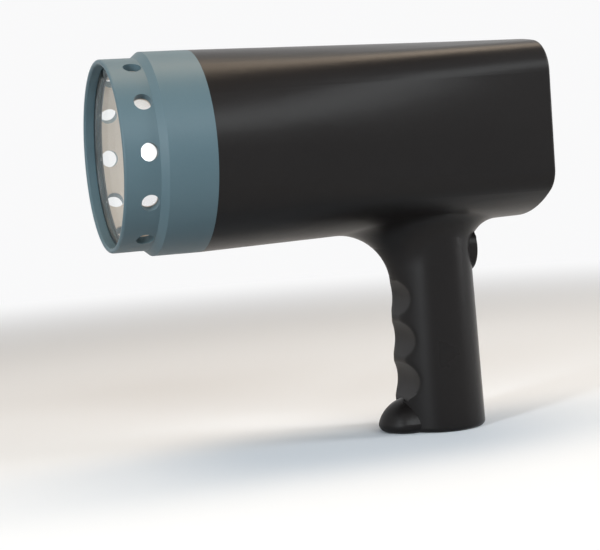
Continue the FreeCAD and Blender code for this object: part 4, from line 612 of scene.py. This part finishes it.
def ribbon(shape, points, width, surface):
    """A printed line through (y, z) points; surface(y, z) gives the X of what it is printed on."""
    left, right = [], []
    for place, point in enumerate(points):
        before = points[max(place - 1, 0)]
        after = points[min(place + 1, len(points) - 1)]
        run = Vector((after[0] - before[0], after[1] - before[1])).normalized()
        side = Vector((-run.y, run.x)) * width / 2
        for edge, way in ((left, 1), (right, -1)):
            y, z = point[0] + side.x * way, point[1] + side.y * way
            edge.append(shape.verts.new((surface(y, z) + print_height, y, z)))
    for place in range(len(points) - 1):
        shape.faces.new([left[place], right[place], right[place + 1], left[place + 1]])


coat(moulding("panel_moulding", panel_colour, panel_pale, roughness=0.45, grain=0.0004, depth=0.00002),
     "rear_panel")
# One dark finish serves both the print and the painted shade in the gaps round the keys.
print_and_gap_shade = Finish("print_and_gap_shade")
print_and_shade_drift = print_and_gap_shade.clouds(0.0005)
print_and_gap_shade.shade(base_color=print_and_gap_shade.between(print_and_shade_drift, print_and_shade_colour, print_and_shade_pale),
                 roughness=print_and_shade_drift * 0.1 + 0.45, specular_ior_level=0.15)

frames = bmesh.new()
dark_frame(frames, "display_window", window_line)
# The dark lines round the keys are painted shade of the gaps between the keys and the panel.
for key in ("key_upper_left", "key_upper_right", "key_lower_left", "key_lower_right"):
    dark_frame(frames, key, key_gap_shade_line)
add_piece("panel_lines_and_gap_shade", frames, print_and_gap_shade.material)

arcs = bmesh.new()
for knob in ("fine_knob", "coarse_knob"):
    knob_low, knob_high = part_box(knob)
    centre = (knob_low + knob_high) / 2
    for side in (-1, 1):
        line = []
        for step in range(arc_steps + 1):
            turn = math.radians(90 + side * (arc_start + (arc_end - arc_start) * step / arc_steps))
            line.append((centre.y + arc_radius * math.cos(turn), centre.z + arc_radius * math.sin(turn)))
        ribbon(arcs, line, arc_width, lambda y, z: panel_face)
        tip = Vector(line[-1])
        run = (tip - Vector(line[-2])).normalized()
        wing = Vector((-run.y, run.x)) * arrow_length * arrow_half
        corners = [tip + run * arrow_length, tip + wing, tip - wing]
        arcs.faces.new([arcs.verts.new((panel_face + print_height, corner.x, corner.y))
                        for corner in corners])
add_piece("panel_arcs", arcs, print_and_gap_shade.material)


# The display is a reflective liquid crystal cell in a black frame, behind a clear acrylic lens.
# Its figures lean a little, and each is made of up to seven flat bars.
lens_tint = (0.8, 0.85, 0.78, 1.0)
frame_colour = (0.006, 0.006, 0.006, 1.0)
frame_pale = (0.012, 0.012, 0.012, 1.0)
cell_olive = (0.052, 0.08, 0.034, 1.0)
cell_pale = (0.068, 0.1, 0.044, 1.0)
figure_colour = (0.004, 0.005, 0.004, 1.0)
figure_pale = (0.008, 0.01, 0.008, 1.0)
reading = "3600"
figure_height = 0.0145
figure_width = 0.0078
figure_pitch = 0.0112
figure_lean = 0.12
figures_right = 0.0215
figure_base = -0.0095
bar_width = 0.0021
bar_gap = 0.0003
half_w = figure_width / 2 - bar_width / 2
half_h = figure_height / 2 - bar_width / 2
BARS = {
    "a": ((-half_w, half_h), (half_w, half_h)),
    "b": ((half_w, half_h), (half_w, 0)),
    "c": ((half_w, 0), (half_w, -half_h)),
    "d": ((-half_w, -half_h), (half_w, -half_h)),
    "e": ((-half_w, 0), (-half_w, -half_h)),
    "f": ((-half_w, half_h), (-half_w, 0)),
    "g": ((-half_w, 0), (half_w, 0)),
}
BARS_OF_FIGURE = {
    "0": "abcdef", "1": "bc", "2": "abged", "3": "abgcd", "4": "fgbc",
    "5": "afgcd", "6": "afgedc", "7": "abc", "8": "abcdefg", "9": "abcdfg",
}

lens = Finish("display_lens")
lens.shade(base_color=lens_tint, roughness=lens.clouds(0.03) * 0.04 + 0.03,
           alpha=edge_on(lens, blend=0.3) * 0.2 + 0.01, ior=1.49, specular_ior_level=0.15)
coat(lens.material, "display_window")
coat(moulding("frame_black", frame_colour, frame_pale, roughness=0.4, grain=0.0005, depth=0.00002),
     "display_frame")
cell = Finish("display_olive")
polariser = cell.clouds(0.03)
pixels = cell.clouds(0.0003, detail=1.0)
cell.shade(base_color=cell.between(polariser * 0.8 + pixels * 0.2, cell_olive, cell_pale),
           roughness=polariser * 0.1 + 0.35, specular_ior_level=0.15)
coat(cell.material, "display_glass")
figure_ink = Finish("figure_ink")
ink_drift = figure_ink.clouds(0.001)
figure_ink.shade(base_color=figure_ink.between(ink_drift, figure_colour, figure_pale),
                 roughness=ink_drift * 0.1 + 0.5, specular_ior_level=0.1)

cell_low, cell_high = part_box("display_glass")
cell_middle = (cell_low + cell_high) / 2
figures = bmesh.new()


def figure_bar(start, end, middle):
    """One bar of a figure: a flat six-sided strip that leans with the figure."""
    start, end = Vector(start), Vector(end)
    run = (end - start).normalized()
    side = Vector((-run.y, run.x)) * bar_width / 2
    start = start + run * bar_gap
    end = end - run * bar_gap
    inset = run * bar_width / 2
    corners = [start, start + inset + side, end - inset + side, end, end - inset - side, start + inset - side]
    verts = []
    for corner in corners:
        y = middle[0] + corner.x + corner.y * figure_lean
        verts.append(figures.verts.new((cell_high.x + print_height, y, middle[1] + corner.y)))
    figures.faces.new(verts)


for place, figure in enumerate(reading):
    y = cell_middle.y + figures_right - figure_width / 2 - figure_pitch * (len(reading) - 1 - place)
    z = cell_middle.z + figure_base + figure_height / 2
    for name in BARS_OF_FIGURE[figure]:
        figure_bar(*BARS[name], (y, z))
add_piece("display_figures", figures, figure_ink.material)


# The display board is of the same green glass-fibre and hangs on four posts of the panel. The four
# key switches stand on its front and the control chip sits on its back, all in black plastic.
coat(board.material, "display_board")
coat(matt_black, "control_chip", "tact_switches")


# The keys are four pale moulded caps that slide in openings of the panel, each over a switch of
# the board. They carry plain marks in dark print, and below the panel's face their sides are painted
# dark as painted shade of the gap they run in.
cap_colour = (0.31, 0.39, 0.265, 1.0)
cap_light = (0.36, 0.44, 0.31, 1.0)
cap_gap_shade = (0.02, 0.028, 0.02, 1.0)
mark_size = 0.0048
mark_weight = 0.00011
MARKS = {"key_upper_left": "×2", "key_upper_right": "+", "key_lower_left": "÷2", "key_lower_right": "−"}
cap = Finish("key_cream")
cap_drift = cap.clouds(0.008, detail=3.0)
# Below the panel's face a key's sides get a dark colour: painted shade of the gap between key and panel.
above_panel = coordinate(cap, "X") > panel_face
cap.shade(base_color=cap.between(above_panel, cap_gap_shade, cap.between(cap_drift, cap_colour, cap_light)),
          roughness=cap_drift * 0.1 + 0.38, normal=cap.raised(cap.clouds(0.0006), 0.00001))


def written(name, text, size, at, body, material):
    """Flat printed characters whose middle is at a point of a face that looks toward +X."""
    curve = bpy.data.curves.new(name + "_outline", "FONT")
    curve.body = text
    curve.size = size
    curve.offset = mark_weight
    curve.align_x = "CENTER"
    curve.align_y = "CENTER"
    source = add_object(name + "_outline", curve)
    bpy.context.view_layer.update()
    mesh = bpy.data.meshes.new_from_object(source)
    bpy.data.objects.remove(source)
    upright_and_outward = Matrix(((0, 0, 1, 0), (1, 0, 0, 0), (0, 1, 0, 0), (0, 0, 0, 1)))
    mesh.transform(Matrix.Translation(at) @ upright_and_outward)
    mesh.name = name
    mesh.materials.clear()
    mesh.materials.append(material)
    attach(add_object(name, mesh), body)


for key, mark in MARKS.items():
    coat(cap.material, key)
    key_low, key_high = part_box(key)
    middle = (key_low + key_high) / 2
    written(key + "_mark", mark, mark_size, (key_high.x + print_height, middle.y, middle.z), key,
            print_and_gap_shade.material)


# Two potentiometers in zinc-plated cans hang in the panel by their threaded bushes. Their nuts and
# spindles are nickel-plated.
pot_can_colour = (0.5, 0.5, 0.5, 1.0)
pot_can_pale = (0.6, 0.6, 0.6, 1.0)
coat(metal("pot_can", pot_can_colour, pot_can_pale, roughness=0.3, grain=0.002),
     "fine_potentiometer", "coarse_potentiometer")
coat(nickel, "potentiometer_nuts", "fine_shaft", "coarse_shaft")


# Each knob is a grey-green moulding with a plain skirt, fine flutes round its grip and a flat top.
# It is pressed on its spindle, and its surface is a little blotched by handling.
knob_colour = (0.118, 0.155, 0.112, 1.0)
knob_pale = (0.16, 0.2, 0.148, 1.0)
knob_finish = Finish("knob_moulding")
knob_grain = knob_finish.clouds(0.0007, detail=3.0)
knob_drift = knob_finish.clouds(0.01, detail=3.0)
knob_finish.shade(
    base_color=knob_finish.between(knob_grain * 0.5 + knob_drift * 0.5, knob_colour, knob_pale),
    roughness=knob_drift * 0.12 + 0.32, normal=knob_finish.raised(knob_grain, depth=0.00004))
coat(knob_finish.material, "fine_knob", "coarse_knob")


# The trigger jack is a black moulded body between the panel and the display board. Only its bore
# shows, as a small dark hole between the two knobs.
coat(matt_black, "trigger_jack")


# The power switch is a round gloss-black moulding that is pressed into the grip's back. Its rocker
# is a slice of a ball on a cross pin, with a white ring and bar printed on it, and its terminals
# are nickel-plated.
switch_colour = (0.006, 0.006, 0.006, 1.0)
switch_pale = (0.012, 0.012, 0.012, 1.0)
white_colour = (0.24, 0.24, 0.23, 1.0)
white_pale = (0.34, 0.34, 0.33, 1.0)
mark_radius = 0.0015
mark_line = 0.0004
mark_share = 0.27
ring_steps = 24
bar_steps = 8
looking_from = 0.01

gloss_black = Finish("switch_black")
polish = gloss_black.clouds(0.006, detail=3.0)
gloss_black.shade(base_color=gloss_black.between(polish, switch_colour, switch_pale),
                  roughness=polish * 0.08 + 0.3, specular_ior_level=0.22)
coat(gloss_black.material, "power_switch", "power_rocker")
mark_white = Finish("mark_white")
mark_wear = mark_white.clouds(0.0008)
mark_white.shade(base_color=mark_white.between(mark_wear, white_colour, white_pale),
                 roughness=mark_wear * 0.1 + 0.4)
coat(nickel, "switch_terminals")

rocker_form = form_of("power_rocker")
rocker_low, rocker_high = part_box("power_rocker")
rocker_middle = (rocker_low + rocker_high) / 2
mark_offset = (rocker_high.z - rocker_low.z) * mark_share


def rocker_face(y, z):
    """The X of the rocker's outer face, found by looking at it from behind the instrument."""
    return rocker_form.ray_cast(Vector((rocker_high.x + looking_from, y, z)), Vector((-1, 0, 0)))[0].x


rocker_marks = bmesh.new()
ring = []
for step in range(ring_steps + 1):
    turn = 2 * math.pi * step / ring_steps
    ring.append((rocker_middle.y + mark_radius * math.cos(turn),
                 rocker_middle.z - mark_offset + mark_radius * math.sin(turn)))
ribbon(rocker_marks, ring, mark_line, rocker_face)
bar = []
for step in range(bar_steps + 1):
    along_bar = mark_radius * (2 * step / bar_steps - 1)
    bar.append((rocker_middle.y, rocker_middle.z + mark_offset + along_bar))
ribbon(rocker_marks, bar, mark_line, rocker_face)
add_piece("rocker_marks", rocker_marks, mark_white.material, "power_rocker")


# The mains inlet is a black moulding in the base of the handle, trapped between the halves of the
# housing by its flange. Its two pins are nickel-plated.
coat(matt_black, "mains_inlet")
coat(nickel, "inlet_pins")


# The screws are zinc-plated steel, with pan heads and a cross recess. Six come in from the right
# and close the housing; the others hold the lamp's carrier, both boards and the strap.
# The sizes of a head, of its recess and of the shank are shares of the head's radius.
head_height = 0.68
shank_radius = 0.53
recess_arm = 0.52
recess_half = 0.13
recess_point = 0.01
# The recess's depth is a share of the head's height, and its floor a share of its mouth. The
# rounding is in (height, radius) pairs, from the recess out to the rim.
recess_depth = 0.5
recess_taper = 0.6
HEAD_ROUNDING = ((0.0, 0.64), (0.1, 0.86), (0.4, 0.985), (0.75, 1.0), (1.0, 1.0))
head_steps = 48
# The thread's sizes are shares of the shank's radius, and the places within a turn of its pitch.
thread_pitch = 0.8
thread_root = 0.86
thread_tip = 0.15
crest_place = 0.3
root_place = 0.6
fewest_threads = 3
thread_steps = 20
# Solids that come nearer than this to each other are the head and the shank of one screw.
same_screw = 0.0002
nearly_zero = 0.001


def screws_of(node):
    """The lowest and highest corners of each separate screw of a CAD node."""
    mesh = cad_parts[node].data
    group = list(range(len(mesh.vertices)))

    def leader(index):
        while group[index] != index:
            group[index] = group[group[index]]
            index = group[index]
        return index

    for edge in mesh.edges:
        start, end = edge.vertices
        group[leader(start)] = leader(end)
    clusters = {}
    for vertex in mesh.vertices:
        clusters.setdefault(leader(vertex.index), []).append(vertex.co)
    boxes = [[Vector(map(min, zip(*points))), Vector(map(max, zip(*points)))]
             for points in clusters.values()]
    merged = True
    while merged:
        merged = False
        for first in range(len(boxes)):
            for second in range(len(boxes) - 1, first, -1):
                low_a, high_a = boxes[first]
                low_b, high_b = boxes[second]
                if all(low_a[k] <= high_b[k] + same_screw and low_b[k] <= high_a[k] + same_screw
                       for k in range(3)):
                    boxes[first] = [Vector(map(min, low_a, low_b)), Vector(map(max, high_a, high_b))]
                    del boxes[second]
                    merged = True
    return boxes


def lathe(shape, outline, steps, move):
    """Add a turned form: (along, radius) points spun about X; a radius may depend on the turn."""
    last = None
    for along, radius in outline:
        ring = []
        for step in range(steps):
            turn = 2 * math.pi * step / steps
            here = radius(turn) if callable(radius) else radius
            point = Vector((along, here * math.cos(turn), here * math.sin(turn)))
            ring.append(shape.verts.new(move @ point))
        if last:
            for step in range(steps):
                after = (step + 1) % steps
                shape.faces.new([last[step], last[after], ring[after], ring[step]])
        else:
            shape.faces.new(list(reversed(ring)))
        last = ring
    shape.faces.new(last)


def cross_screws(node, letter, head_high):
    """Screws in place of a node's, along axis X, Y or Z; head_high puts the heads at its high end."""
    axis = "XYZ".index(letter)
    shape = bmesh.new()
    for low, high in screws_of(node):
        size = high - low
        radius = max(size[k] for k in range(3) if k != axis) / 2
        length = size[axis]
        head = radius * head_height
        shank = radius * shank_radius
        arm = radius * recess_arm
        half = radius * recess_half

        def cross(turn):
            across = max(abs(math.cos(turn)), nearly_zero)
            upward = max(abs(math.sin(turn)), nearly_zero)
            return max(min(arm / across, half / upward), min(arm / upward, half / across))

        def cross_floor(turn):
            return cross(turn) * recess_taper

        pointing = Vector((0, 0, 0))
        pointing[axis] = -1 if head_high else 1
        start = (low + high) / 2
        start[axis] = high[axis] if head_high else low[axis]
        turned = Vector((1, 0, 0)).rotation_difference(pointing).to_matrix().to_4x4()
        move = Matrix.Translation(start) @ turned
        deep_end = head * recess_depth
        outline = [(deep_end, radius * recess_point), (deep_end, cross_floor), (0, cross)]
        outline += [(head * deep, radius * wide) for deep, wide in HEAD_ROUNDING]
        outline.append((head, shank))
        lathe(shape, outline, head_steps, move)

        pitch = shank * thread_pitch
        threaded = length - head - shank
        count = max(fewest_threads, int(threaded / pitch))
        thread = []
        for index in range(count):
            at = head + threaded * index / count
            thread += [(at, shank * thread_root), (at + pitch * crest_place, shank),
                       (at + pitch * root_place, shank * thread_root)]
        thread.append((length, shank * thread_tip))
        lathe(shape, thread, thread_steps, move)
    piece = add_piece(node + "_cross", shape, zinc)
    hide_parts(node)


cross_screws("housing_screws", "Y", head_high=True)
cross_screws("carrier_screws", "X", head_high=True)
cross_screws("display_screws", "X", head_high=False)
cross_screws("board_screws", "Z", head_high=True)
cross_screws("strap_screws", "Z", head_high=True)
